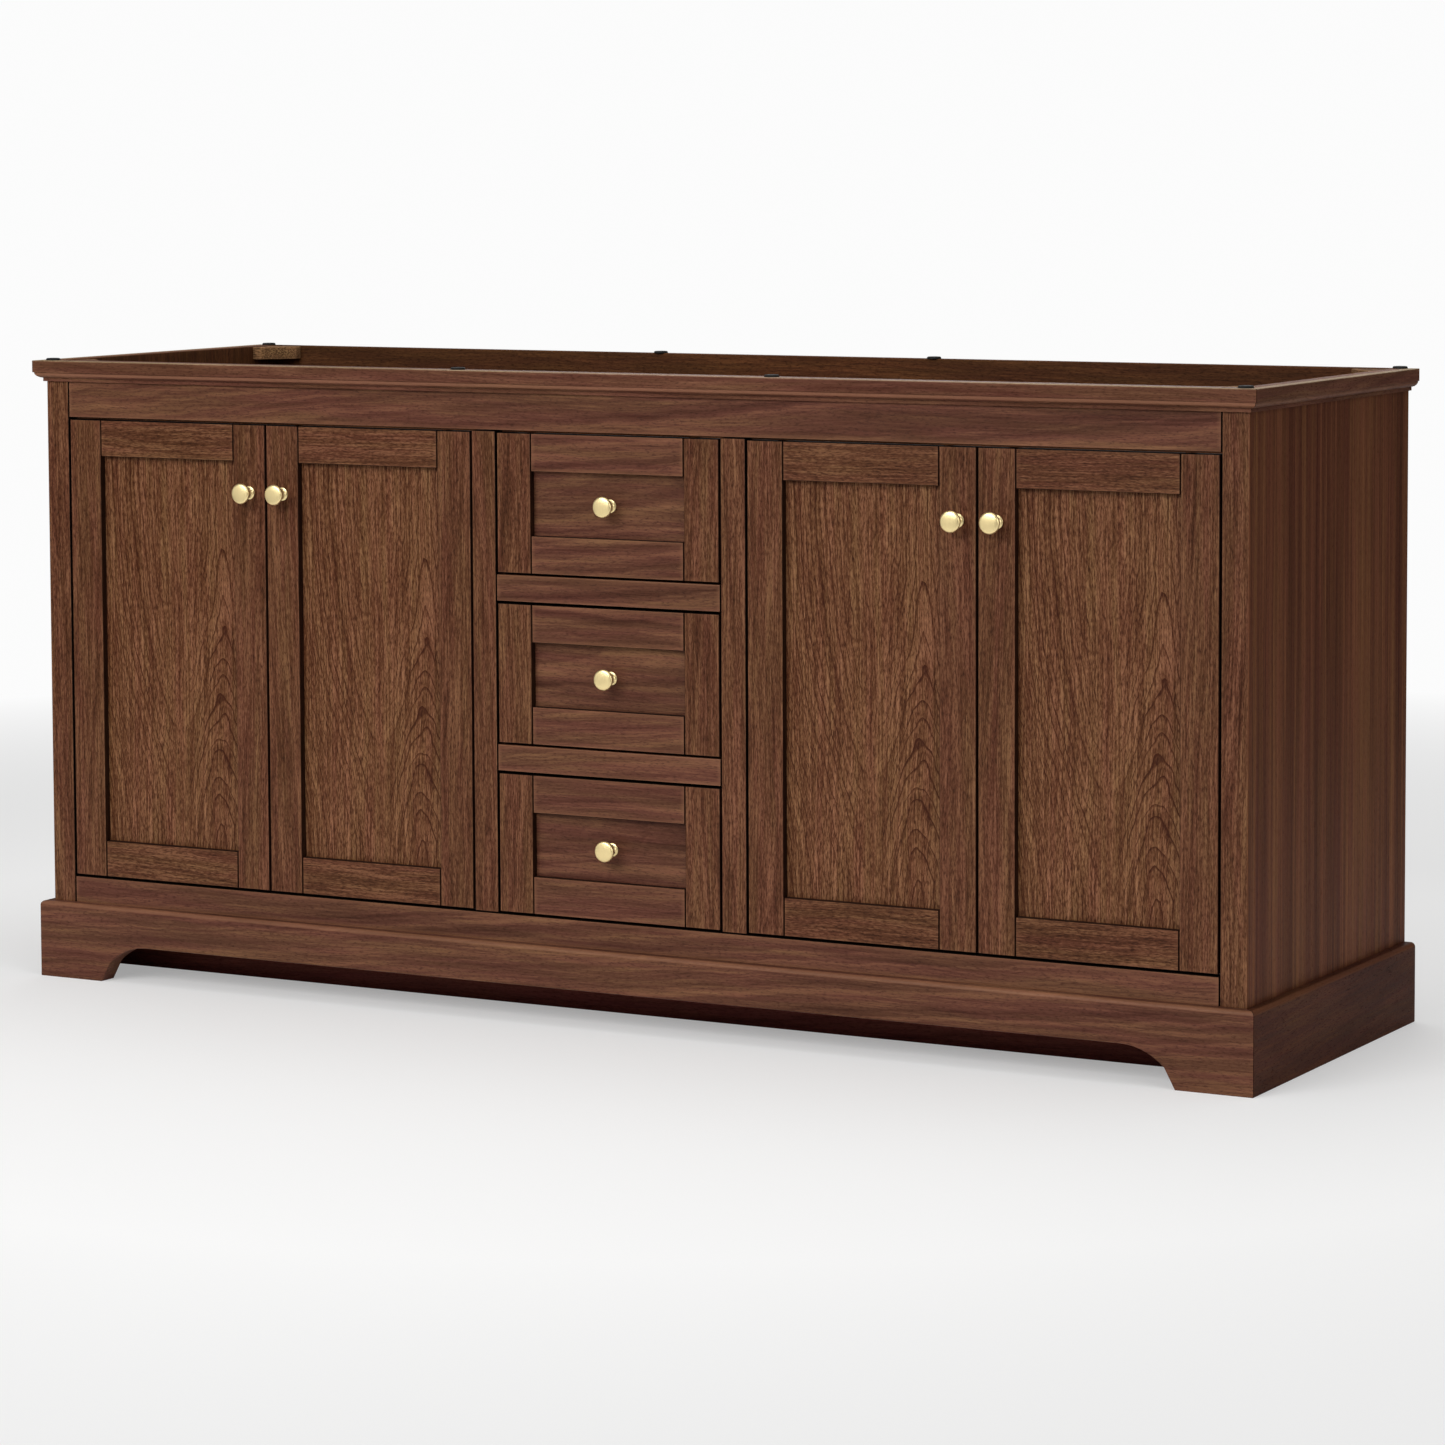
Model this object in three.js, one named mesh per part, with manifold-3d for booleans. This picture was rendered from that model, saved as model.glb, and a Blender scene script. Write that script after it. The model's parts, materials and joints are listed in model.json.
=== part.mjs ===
// A double bathroom vanity base: a face-frame cabinet with two pairs of inset
// doors, a centre stack of three inset drawers, a crown moulding under the open
// top and a bracket-foot plinth at the floor.
//
// Millimetres. In the cabinet's own coordinates X runs to the right as seen
// from the front, Y runs from the front plane of the face frame (0) towards the
// back, and Z runs up from the floor. The exported group moves that so that the
// origin is at the middle of the whole object's footprint, on the floor.

import * as THREE from 'three';
import { mergeVertices } from 'three/addons/utils/BufferGeometryUtils.js';
import Module from 'manifold-3d';

const wasm = await Module();
wasm.setup();

// ---- driving dimensions ----

const WIDTH = 1829;               // over the plinth and the crown
const HEIGHT = 864;               // floor to the top edge of the wood
const DEPTH = 544;                // front plane of the face frame to the back
const PROUD = 15;                 // how far plinth and crown stand out
const JOIN_GAP = 0.3;             // left between pieces that meet on a slant

const SIDE_T = 18;                // side panels, partitions, bottom, base boards
const BACK_T = 15;
const FRAME_T = 20;               // face frame, doors and drawer fronts

const PLINTH_H = 106;
const PLINTH_FRONT_T = 28;        // the front board is thicker than the sides
const PLINTH_ROUND = 6;           // radius of the top outer edge
const ARCH_H = 51.5;              // height of the cut-out between the feet
const ARCH_FLAT = 735;            // half length of its level stretch
const ARCH_R = 86;                // radius where it turns down
const ARCH_TURN = Math.PI / 4;    // how far it turns before the straight slant
const FOOT_INNER = 810;           // half distance between the feet at the floor
const TOE_SETBACK = 112;          // face plane to the toe board

const STILE_W = 36;               // every upright of the face frame
const BOTTOM_RAIL_H = 36.5;
const TOP_RAIL_H = 78.5;          // the crown covers its upper part
const DRAWER_RAIL_H = 35;
const MID_STILE_X = 187.5;        // centre line of the stiles beside the drawers
const REVEAL = 3;                 // gap round every door and drawer front

const CROWN_H = 29;
const CROWN_FILLET_H = 13;        // upright band at full projection
const CROWN_QUIRK = 3;            // step in and down under that band
const CROWN_OVOLO_R = 8.5;
const CROWN_FOOT_PROUD = 3.5;     // the small fillet that meets the rail

const DOOR_STILE_W = 51;
const DOOR_RAIL_H = 50;
const PANEL_RECESS = 10;          // front of frame to front of panel
const PANEL_T = 6;
const GROOVE_DEPTH = 8;
const GROOVE_PLAY = 0.5;          // room for the panel edge in its groove

const KNOB_HEIGHT = 690;          // door knobs line up with the top drawer's
const KNOB_BASE_R = 9;
const KNOB_BASE_T = 1.5;
const KNOB_NECK_R = 5;
const KNOB_HEAD_R = 14;
const KNOB_HEAD_T = 5;
const KNOB_DOME = 1;              // fall of the head's face, and its soft rim
const KNOB_REACH = 25;
const KNOB_SIDES = 24;
const CURVE_STEPS = 8;            // facets in each rounded stretch

const PARTITION_TOP = 800;
const CUTOUT = { width: 480, bottom: 430, top: 710 };

const BOX_L = 450;                // drawer boxes and their slides
const BOX_H = 130;
const BOX_T = 12;
const BOX_LIFT = 18;              // drawer front's lower edge to the box's
const BOX_BOTTOM_T = 6;
const BOX_BOTTOM_RAISE = 12;
const SLIDE_GAP = 13;             // partition to drawer box
const SLIDE_H = 45;
const SLIDE_DEPTH = 9.5;
const SLIDE_T = 1.5;
const SLIDE_START = 22;

const BLOCK_LEG = 51;             // corner blocks under the top
const BLOCK_END = 13;
const BLOCK_T = 18;
const BLOCK_DROP = 1;

const BUMPER_R = 10;
const BUMPER_T = 3;
const BUMPER_FRONT = { x: 892, y: 5 };
const BUMPER_BACK = { x: 891, y: 534 };

// ---- sizes that follow from them ----

const HALF = WIDTH / 2 - PROUD;                       // cabinet side face
const INNER = HALF - SIDE_T;                          // side panel's inner face
const BACK_INNER = DEPTH - BACK_T;
const OPEN_BOTTOM = PLINTH_H + BOTTOM_RAIL_H;
const OPEN_TOP = HEIGHT - TOP_RAIL_H;
const BOTTOM_UNDER = OPEN_BOTTOM - SIDE_T;
const BAY_OUTER = HALF - STILE_W;                     // door opening, far edge
const BAY_INNER = MID_STILE_X + STILE_W / 2;          // door opening, near edge
const STACK_HALF = MID_STILE_X - STILE_W / 2;         // drawer opening
const DOOR_W = (BAY_OUTER - BAY_INNER - 3 * REVEAL) / 2;
const DOOR_H = OPEN_TOP - OPEN_BOTTOM - 2 * REVEAL;
const DRAWER_PITCH = (OPEN_TOP - OPEN_BOTTOM + DRAWER_RAIL_H) / 3;
const DRAWER_W = 2 * (STACK_HALF - REVEAL);
const DRAWER_H = DRAWER_PITCH - DRAWER_RAIL_H - 2 * REVEAL;
const BAY_CENTRE = (BAY_OUTER + BAY_INNER) / 2;

// ---- materials ----

const walnut = new THREE.MeshStandardMaterial({ color: 0x65422f, roughness: 0.48, metalness: 0 });
const walnutShade = new THREE.MeshStandardMaterial({ color: 0x4f2f22, roughness: 0.5, metalness: 0 });
const interior = new THREE.MeshStandardMaterial({ color: 0x4a2f20, roughness: 0.6, metalness: 0 });
const toeWood = new THREE.MeshStandardMaterial({ color: 0x35191a, roughness: 0.6, metalness: 0 });
const rawWood = new THREE.MeshStandardMaterial({ color: 0x8a6a4c, roughness: 0.8, metalness: 0 });
const boxWood = new THREE.MeshStandardMaterial({ color: 0xc9a877, roughness: 0.55, metalness: 0 });
const goldMetal = new THREE.MeshStandardMaterial({ color: 0xe3cd8f, roughness: 0.32, metalness: 1 });
const slideSteel = new THREE.MeshStandardMaterial({ color: 0xb9bcc0, roughness: 0.38, metalness: 1 });
const blackRubber = new THREE.MeshStandardMaterial({ color: 0x141414, roughness: 0.8, metalness: 0 });

// ---- building blocks ----

// Axis swaps that keep a shape's handedness exactly, with no rounding.
const ALONG_X = new THREE.Matrix4().set(0, 0, 1, 0, 1, 0, 0, 0, 0, 1, 0, 0, 0, 0, 0, 1);
const ALONG_Y = new THREE.Matrix4().set(1, 0, 0, 0, 0, 0, -1, 0, 0, 1, 0, 0, 0, 0, 0, 1);
const TURN_TO_FRONT = new THREE.Matrix4().set(1, 0, 0, 0, 0, -1, 0, 0, 0, 0, -1, 0, 0, 0, 0, 1);

function piece(name, geometry, material, position = [0, 0, 0]) {
  const mesh = new THREE.Mesh(geometry, material);
  mesh.name = name;
  mesh.position.set(...position);
  return mesh;
}

// A box from its low and high corner along each axis.
function block([x0, x1], [y0, y1], [z0, z1]) {
  const geometry = new THREE.BoxGeometry(x1 - x0, y1 - y0, z1 - z0);
  geometry.translate((x0 + x1) / 2, (y0 + y1) / 2, (z0 + z1) / 2);
  return geometry;
}

function extrude(shape, depth) {
  return new THREE.ExtrudeGeometry(shape, { depth, curveSegments: CURVE_STEPS, bevelEnabled: false });
}

function outline(points) {
  return new THREE.Shape(points.map(([a, b]) => new THREE.Vector2(a, b)));
}

function toSolid(geometry) {
  const plain = geometry.clone();
  plain.deleteAttribute('normal');
  plain.deleteAttribute('uv');
  const merged = mergeVertices(plain);
  const vertProperties = new Float32Array(merged.attributes.position.array);
  const triVerts = new Uint32Array(merged.index.array);
  return new wasm.Manifold(new wasm.Mesh({ numProp: 3, vertProperties, triVerts }));
}

function toGeometry(solid) {
  const mesh = solid.getMesh();
  const geometry = new THREE.BufferGeometry();
  geometry.setAttribute('position', new THREE.BufferAttribute(mesh.vertProperties, 3));
  geometry.setIndex(new THREE.BufferAttribute(mesh.triVerts, 1));
  geometry.computeVertexNormals();
  return geometry;
}

function cut(geometry, ...tools) {
  const solid = tools.reduce((rest, tool) => rest.subtract(toSolid(tool)), toSolid(geometry));
  return toGeometry(solid);
}

// A moulding along X whose profile is given as (projection, height) points.
// Each end that is mitred reaches further out the more the profile projects.
function moulding(profile, from, to, mitreFrom, mitreTo) {
  const shape = outline(profile.map(([proud, z]) => [-proud, z]));
  const geometry = extrude(shape, 1).applyMatrix4(ALONG_X);
  const at = geometry.attributes.position;
  for (let i = 0; i < at.count; i += 1) {
    const reach = Math.max(0, -at.getY(i));
    const isEnd = at.getX(i) > 0.5;
    const x = isEnd ? to + (mitreTo ? reach : 0) : from - (mitreFrom ? reach : 0);
    at.setX(i, x);
  }
  geometry.computeVertexNormals();
  return geometry;
}

// The same moulding on a side of the cabinet: side is -1 for left, 1 for right.
// It is drawn as a front moulding and then turned a quarter to face that side.
function sideMoulding(profile, side) {
  const length = DEPTH - JOIN_GAP;
  const geometry = side < 0
    ? moulding(profile, -length, 0, false, true)
    : moulding(profile, 0, length, true, false);
  const turn = side < 0
    ? new THREE.Matrix4().set(0, 1, 0, -HALF, -1, 0, 0, JOIN_GAP, 0, 0, 1, 0, 0, 0, 0, 1)
    : new THREE.Matrix4().set(0, -1, 0, HALF, 1, 0, 0, JOIN_GAP, 0, 0, 1, 0, 0, 0, 0, 1);
  return geometry.applyMatrix4(turn);
}

function arc(centreA, centreB, radius, start, end, steps) {
  return Array.from({ length: steps + 1 }, (_, i) => {
    const angle = start + ((end - start) * i) / steps;
    return [centreA + radius * Math.cos(angle), centreB + radius * Math.sin(angle)];
  });
}

// ---- carcass ----

function carcass() {
  const behindFrame = [FRAME_T, DEPTH];
  const inside = [FRAME_T, BACK_INNER];
  const across = [-INNER, INNER];
  const baseHeight = [0, BOTTOM_UNDER];
  const parts = [
    piece('left_side_panel', block([-HALF, -INNER], behindFrame, [0, HEIGHT]), walnutShade),
    piece('right_side_panel', block([INNER, HALF], behindFrame, [0, HEIGHT]), walnutShade),
    piece('bottom_panel', block(across, inside, [BOTTOM_UNDER, OPEN_BOTTOM]), interior),
    piece('toe_board', block(across, [TOE_SETBACK, TOE_SETBACK + SIDE_T], baseHeight), toeWood),
    piece('rear_base_board', block(across, [BACK_INNER - SIDE_T, BACK_INNER], baseHeight), interior),
    piece('back_panel', backPanel(), interior),
  ];
  for (const [side, name] of [[-1, 'left'], [1, 'right']]) {
    const near = side * STACK_HALF;
    const far = side * (STACK_HALF + SIDE_T);
    const x = [Math.min(near, far), Math.max(near, far)];
    parts.push(piece(`${name}_partition`, block(x, inside, [OPEN_BOTTOM, PARTITION_TOP]), interior));
  }
  return parts;
}

// The back is one board with a plumbing cut-out behind each sink bay.
function backPanel() {
  const board = block([-INNER, INNER], [BACK_INNER, DEPTH], [BOTTOM_UNDER, HEIGHT]);
  const holes = [-1, 1].map((side) => {
    const x = [side * BAY_CENTRE - CUTOUT.width / 2, side * BAY_CENTRE + CUTOUT.width / 2];
    return block(x, [BACK_INNER - 1, DEPTH + 1], [CUTOUT.bottom, CUTOUT.top]);
  });
  return cut(board, ...holes);
}

// ---- face frame ----

function faceFrame() {
  const y = [0, FRAME_T];
  const betweenStiles = [-BAY_OUTER, BAY_OUTER];
  const openHeight = [OPEN_BOTTOM, OPEN_TOP];
  const parts = [
    piece('left_stile', block([-HALF, -BAY_OUTER], y, [PLINTH_H, HEIGHT]), walnut),
    piece('right_stile', block([BAY_OUTER, HALF], y, [PLINTH_H, HEIGHT]), walnut),
    piece('top_rail', block(betweenStiles, y, [OPEN_TOP, HEIGHT]), walnut),
    piece('bottom_rail', block(betweenStiles, y, [PLINTH_H, OPEN_BOTTOM]), walnut),
    piece('left_mid_stile', block([-BAY_INNER, -STACK_HALF], y, openHeight), walnut),
    piece('right_mid_stile', block([STACK_HALF, BAY_INNER], y, openHeight), walnut),
  ];
  ['upper_drawer_rail', 'lower_drawer_rail'].forEach((name, i) => {
    const top = OPEN_TOP - (i + 1) * DRAWER_PITCH + DRAWER_RAIL_H;
    parts.push(piece(name, block([-STACK_HALF, STACK_HALF], y, [top - DRAWER_RAIL_H, top]), walnut));
  });
  return parts;
}

// ---- crown and plinth ----

// Upright band, quirk, quarter-round and a small fillet, from the top down.
function crownProfile() {
  const bandFoot = HEIGHT - CROWN_FILLET_H;
  const ovoloTop = bandFoot - CROWN_QUIRK;
  const ovoloOut = PROUD - CROWN_QUIRK;
  return [
    [0, HEIGHT],
    [PROUD, HEIGHT],
    [PROUD, bandFoot],
    [ovoloOut, bandFoot],
    ...arc(ovoloOut - CROWN_OVOLO_R, ovoloTop, CROWN_OVOLO_R, 0, -Math.PI / 2, 4),
    [CROWN_FOOT_PROUD, HEIGHT - CROWN_H],
    [0, HEIGHT - CROWN_H],
  ];
}

// behind is how far the board reaches back behind the face plane. The mitre
// starts at that plane, so a board that reaches back has a point on it there.
function plinthProfile(behind) {
  const foot = behind > 0 ? [[-behind, 0], [0, 0]] : [[0, 0]];
  const top = behind > 0 ? [[0, PLINTH_H], [-behind, PLINTH_H]] : [[0, PLINTH_H]];
  return [
    ...foot,
    [PROUD, 0],
    ...arc(PROUD - PLINTH_ROUND, PLINTH_H - PLINTH_ROUND, PLINTH_ROUND, 0, Math.PI / 2, 5),
    ...top,
  ];
}

// What is cut away between the feet, seen from the front.
function archOutline() {
  const turn = arc(ARCH_FLAT, ARCH_H - ARCH_R, ARCH_R, Math.PI / 2, Math.PI / 2 - ARCH_TURN, 6);
  const right = [...turn, [FOOT_INNER, 0], [FOOT_INNER, -1]];
  const left = right.map(([x, z]) => [-x, z]).reverse();
  return outline([...left, ...right]);
}

function crown() {
  const profile = crownProfile();
  const end = HALF - JOIN_GAP;
  return [
    piece('front_crown', moulding(profile, -end, end, true, true), walnut),
    piece('left_crown', sideMoulding(profile, -1), walnut),
    piece('right_crown', sideMoulding(profile, 1), walnut),
  ];
}

function plinth() {
  const end = HALF - JOIN_GAP;
  const inward = PLINTH_FRONT_T - PROUD;
  const board = moulding(plinthProfile(inward), -end, end, true, true);
  const arch = extrude(archOutline(), PLINTH_FRONT_T + 2).applyMatrix4(ALONG_Y);
  arch.translate(0, inward + 1, 0);
  return [
    piece('front_plinth', cut(board, arch), walnut),
    piece('left_plinth', sideMoulding(plinthProfile(0), -1), walnutShade),
    piece('right_plinth', sideMoulding(plinthProfile(0), 1), walnutShade),
  ];
}

// ---- what sits at the top ----

function cornerBlocks() {
  const shape = outline([
    [0, 0],
    [BLOCK_LEG, 0],
    [BLOCK_LEG, BLOCK_END],
    [BLOCK_END, BLOCK_LEG],
    [0, BLOCK_LEG],
  ]);
  const underside = HEIGHT - BLOCK_DROP - BLOCK_T;
  const back = BACK_INNER - JOIN_GAP;
  const corners = [
    ['front_left', -INNER, FRAME_T, 0],
    ['front_right', INNER, FRAME_T, 1],
    ['back_right', INNER, back, 2],
    ['back_left', -INNER, back, 3],
  ];
  const quarter = new THREE.Matrix4().set(0, -1, 0, 0, 1, 0, 0, 0, 0, 0, 1, 0, 0, 0, 0, 1);
  return corners.map(([place, x, y, turns]) => {
    const geometry = extrude(shape, BLOCK_T);
    for (let i = 0; i < turns; i += 1) {
      geometry.applyMatrix4(quarter);
    }
    return piece(`${place}_corner_block`, geometry, rawWood, [x, y, underside]);
  });
}

function bumpers() {
  const pad = new THREE.CylinderGeometry(BUMPER_R, BUMPER_R, BUMPER_T, 24).applyMatrix4(ALONG_Y);
  const places = [];
  for (const [side, name] of [[-1, 'left'], [1, 'right']]) {
    places.push([`front_${name}_bumper`, side * BUMPER_FRONT.x, BUMPER_FRONT.y]);
    places.push([`back_${name}_bumper`, side * BUMPER_BACK.x, BUMPER_BACK.y]);
  }
  return places.map(([name, x, y]) => piece(name, pad.clone(), blackRubber, [x, y, HEIGHT + BUMPER_T / 2]));
}

// ---- doors and drawers ----

// A frame of two stiles and two rails, grooved on its inside for the panel.
function frontFrame(width, height) {
  const opening = [[DOOR_STILE_W, width - DOOR_STILE_W], [DOOR_RAIL_H, height - DOOR_RAIL_H]];
  const groove = opening.map(([low, high]) => [low - GROOVE_DEPTH, high + GROOVE_DEPTH]);
  const grooveY = [PANEL_RECESS - JOIN_GAP, PANEL_RECESS + PANEL_T + JOIN_GAP];
  return cut(
    block([0, width], [0, FRAME_T], [0, height]),
    block(opening[0], [-1, FRAME_T + 1], opening[1]),
    block(groove[0], grooveY, groove[1]),
  );
}

function frontPanel(width, height) {
  const tongue = GROOVE_DEPTH - GROOVE_PLAY;
  return block(
    [DOOR_STILE_W - tongue, width - DOOR_STILE_W + tongue],
    [PANEL_RECESS, PANEL_RECESS + PANEL_T],
    [DOOR_RAIL_H - tongue, height - DOOR_RAIL_H + tongue],
  );
}

// Rosette, flared neck and a wide, nearly flat mushroom head, facing the front.
function knob() {
  const headBack = KNOB_REACH - KNOB_HEAD_T;
  const rimOut = headBack + KNOB_HEAD_T / 2;
  const faceOut = KNOB_REACH - KNOB_DOME;
  const profile = [
    [0, 0],
    [KNOB_BASE_R, 0],
    [KNOB_BASE_R, KNOB_BASE_T],
    [KNOB_NECK_R + KNOB_BASE_T, 2 * KNOB_BASE_T],
    [KNOB_NECK_R, KNOB_REACH / 3],
    [KNOB_NECK_R, KNOB_REACH / 2],
    [KNOB_BASE_R, headBack - KNOB_BASE_T],
    [KNOB_HEAD_R - KNOB_DOME, headBack],
    [KNOB_HEAD_R, rimOut],
    [KNOB_HEAD_R - KNOB_DOME, faceOut],
    [0, KNOB_REACH],
  ];
  const points = profile.map(([r, out]) => new THREE.Vector2(r, out));
  return new THREE.LatheGeometry(points, KNOB_SIDES).applyMatrix4(TURN_TO_FRONT);
}

function door(number, left, knobX) {
  const group = new THREE.Group();
  group.position.set(left, 0, OPEN_BOTTOM + REVEAL);
  const knobPlace = [knobX, 0, KNOB_HEIGHT - group.position.z];
  group.add(
    piece(`door_${number}_frame`, frontFrame(DOOR_W, DOOR_H), walnut),
    piece(`door_${number}_panel`, frontPanel(DOOR_W, DOOR_H), walnut),
    piece(`door_${number}_knob`, knob(), goldMetal, knobPlace),
  );
  return group;
}

// Doors are numbered from the left. The knobs of a pair meet in its middle.
function doors() {
  const onLeftStile = DOOR_STILE_W / 2;
  const onRightStile = DOOR_W - DOOR_STILE_W / 2;
  return [
    door(1, -BAY_OUTER + REVEAL, onRightStile),
    door(2, -BAY_INNER - REVEAL - DOOR_W, onLeftStile),
    door(3, BAY_INNER + REVEAL, onRightStile),
    door(4, BAY_OUTER - REVEAL - DOOR_W, onLeftStile),
  ];
}

// An open box: four walls round a bottom that sits a little above their feet.
function drawerBox() {
  const half = STACK_HALF - SLIDE_GAP;
  const x = [-half + BOX_T, half - BOX_T];
  const y = [BOX_T, BOX_L - BOX_T];
  const bottomTop = BOX_BOTTOM_RAISE + BOX_BOTTOM_T;
  return cut(
    block([-half, half], [0, BOX_L], [0, BOX_H]),
    block(x, y, [bottomTop, BOX_H + 1]),
    block(x, y, [-1, BOX_BOTTOM_RAISE]),
  );
}

// The cabinet half of a telescopic slide: a channel open towards the drawer.
function slideChannel(side) {
  const half = SLIDE_H / 2;
  const shape = outline([
    [0, -half],
    [SLIDE_DEPTH, -half],
    [SLIDE_DEPTH, -half + SLIDE_T],
    [SLIDE_T, -half + SLIDE_T],
    [SLIDE_T, half - SLIDE_T],
    [SLIDE_DEPTH, half - SLIDE_T],
    [SLIDE_DEPTH, half],
    [0, half],
  ].map(([x, z]) => [-side * x, z]));
  return extrude(shape, BOX_L).applyMatrix4(ALONG_Y).translate(0, BOX_L, 0);
}

// Drawers are numbered from the top.
function drawer(number) {
  const bottom = OPEN_TOP - (number - 1) * DRAWER_PITCH - REVEAL - DRAWER_H;
  const slideHeight = bottom + BOX_LIFT + BOX_H / 2;
  const group = new THREE.Group();
  group.position.set(-DRAWER_W / 2, 0, bottom);
  const middle = DRAWER_W / 2;
  group.add(
    piece(`drawer_${number}_front`, frontFrame(DRAWER_W, DRAWER_H), walnut),
    piece(`drawer_${number}_panel`, frontPanel(DRAWER_W, DRAWER_H), walnut),
    piece(`drawer_${number}_knob`, knob(), goldMetal, [middle, PANEL_RECESS, DRAWER_H / 2]),
    piece(`drawer_${number}_box`, drawerBox(), boxWood, [middle, FRAME_T, BOX_LIFT]),
  );
  const slides = [[-1, 'left'], [1, 'right']].map(([side, name]) => {
    const place = [side * STACK_HALF, SLIDE_START, slideHeight];
    return piece(`drawer_${number}_${name}_slide`, slideChannel(side), slideSteel, place);
  });
  return [group, ...slides];
}

// ---- the whole cabinet ----

const cabinet = new THREE.Group();
cabinet.name = 'vanity_cabinet';
cabinet.position.set(0, (KNOB_REACH - DEPTH) / 2, 0);
cabinet.add(...carcass(), ...faceFrame(), ...crown(), ...plinth());
cabinet.add(...cornerBlocks(), ...bumpers(), ...doors());
cabinet.add(...[1, 2, 3].flatMap(drawer));

export default cabinet;
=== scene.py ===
"""The looks of a double bathroom vanity base in walnut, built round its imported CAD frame.

Metres, in the frame's own axes: X to the right seen from the front, Y towards the wall, Z up
from the floor. Places come from the frame's nodes. The sizes below are those of the boards,
joints and fittings that the frame holds as plain solids.
"""

import json
import math
import random

import bmesh
import bpy
from mathutils import Euler, Matrix, Vector


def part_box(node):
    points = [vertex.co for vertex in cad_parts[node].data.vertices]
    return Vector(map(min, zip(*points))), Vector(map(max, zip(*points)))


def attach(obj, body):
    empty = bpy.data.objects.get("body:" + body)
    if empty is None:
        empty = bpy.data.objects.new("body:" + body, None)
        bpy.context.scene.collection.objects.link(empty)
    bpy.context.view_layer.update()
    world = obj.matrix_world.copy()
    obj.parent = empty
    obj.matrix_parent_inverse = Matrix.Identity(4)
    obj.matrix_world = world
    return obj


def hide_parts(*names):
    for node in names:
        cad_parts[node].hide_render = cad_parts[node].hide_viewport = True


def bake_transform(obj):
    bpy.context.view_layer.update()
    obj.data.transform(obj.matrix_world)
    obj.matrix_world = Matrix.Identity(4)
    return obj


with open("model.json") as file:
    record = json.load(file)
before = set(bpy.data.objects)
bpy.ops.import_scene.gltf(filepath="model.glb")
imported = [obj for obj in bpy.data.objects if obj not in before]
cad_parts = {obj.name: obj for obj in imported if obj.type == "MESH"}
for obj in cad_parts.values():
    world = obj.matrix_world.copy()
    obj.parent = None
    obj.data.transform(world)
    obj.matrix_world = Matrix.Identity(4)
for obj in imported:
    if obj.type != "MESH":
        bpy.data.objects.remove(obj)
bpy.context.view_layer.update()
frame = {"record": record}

# ---- sizes ----

ARRIS = 0.0007  # rounding of every board's edges
HAIRLINE = 0.0012  # gap seen where two boards are joined
SUPPORT = 0.0009  # flat strip beside a rounded edge, which keeps its shading crisp
FADE = 0.005  # how far an edge's lightening, part wear and part painted highlight, reaches into a face
TAPER = 0.075  # how much a growth ring narrows up the tree
FLAME_REACH = 0.25  # how far up a door's sheet its arches stay close together
TWIN_ACROSS = 0.28  # the next set of arches beside the first, off the sheet's edge
TWIN_NEARER = 0.137
TWIN_BLEND = 0.08
TWIN_FADE = (0.0, 0.07)  # arches of the two sets show the more clearly the further they are apart

SHEET_STILE = 0.051  # stiles of doors and drawer fronts
SHEET_RAIL = 0.050
GROOVE_DEPTH = 0.0085
GROOVE_PLAY = 0.0002
SHEET_ARRIS = 0.0004
TENON_REACH = 0.0018
TENON_SUNK = 0.002  # how far below the surface a joint between stile and rail is closed

PLINTH_FRONT_T = 0.028
PLINTH_ROUND = 0.006
ARCH_H = 0.0515
ARCH_FLAT = 0.735
ARCH_R = 0.086
ARCH_TURN = math.pi / 4
FOOT_INNER = 0.810
ARCH_STEPS = 12
ARCH_ARRIS = 0.0012
PLINTH_ARRIS = 0.0008  # at the lower edge of the side plinths
# strength of the painted highlight along the front plinth's rounded top
PLINTH_FRONT_HIGHLIGHT = 0.8

CROWN_BAND_H = 0.0165
CROWN_STEP = 0.0017  # how far the ovolo stands back from the band above it
CROWN_QUIRK = 0.0026  # projection of the crown in the quirk between its ovolo and fillet
CROWN_FOOT = 0.0040
CROWN_FILLET_H = 0.0047
# how far down the fillet the painted highlight on its upper edge fades out
CROWN_FILLET_HIGHLIT = 0.0012
CROWN_ROUND = 0.0007
OVOLO_STEPS = 8
CROWN_RIM_LIT_REACH = 0.0028  # how far down its band the painted highlight on the crown's upper edge fades out
# painted highlight on the crown's upper edge, lit from above
CROWN_RIM_HIGHLIGHT = 0.3
CROWN_SIDE_HIGHLIGHT = 0.35  # share of the front crown's painted highlight that the side crowns get
OVOLO_HIGHLIT = (0.001, 0.0045)  # from and to how far below the ovolo's top it is painted lighter, a painted highlight
MITRE_GAP = 0.0005
FLUSH = 0.0001  # a point this near to a face counts as lying on it

BLOCK_END = 0.013  # width of a corner block's narrow ends
BLOCK_ARRIS = 0.0009

BUMPER_MID_FRONT = (-0.229, 0.242)
BUMPER_MID_BACK = (-0.2195, 0.2127)

BOX_T = 0.012
BOX_BOTTOM_T = 0.006
BOX_BOTTOM_RAISE = 0.012
BOX_LET_IN = 0.004  # how far the bottom reaches into the boards round it
PIN_GAP = 0.0001
TAIL_COUNT = 4
TAIL_SLOPE = 0.0022  # how much a dovetail widens towards its end, on each side

SLIDE_T = 0.0012
SLIDE_LIP = 0.0045
MIDDLE_SHRINK = 0.0045  # how much smaller the middle member is, above and below
INNER_SHRINK = 0.010

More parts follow.
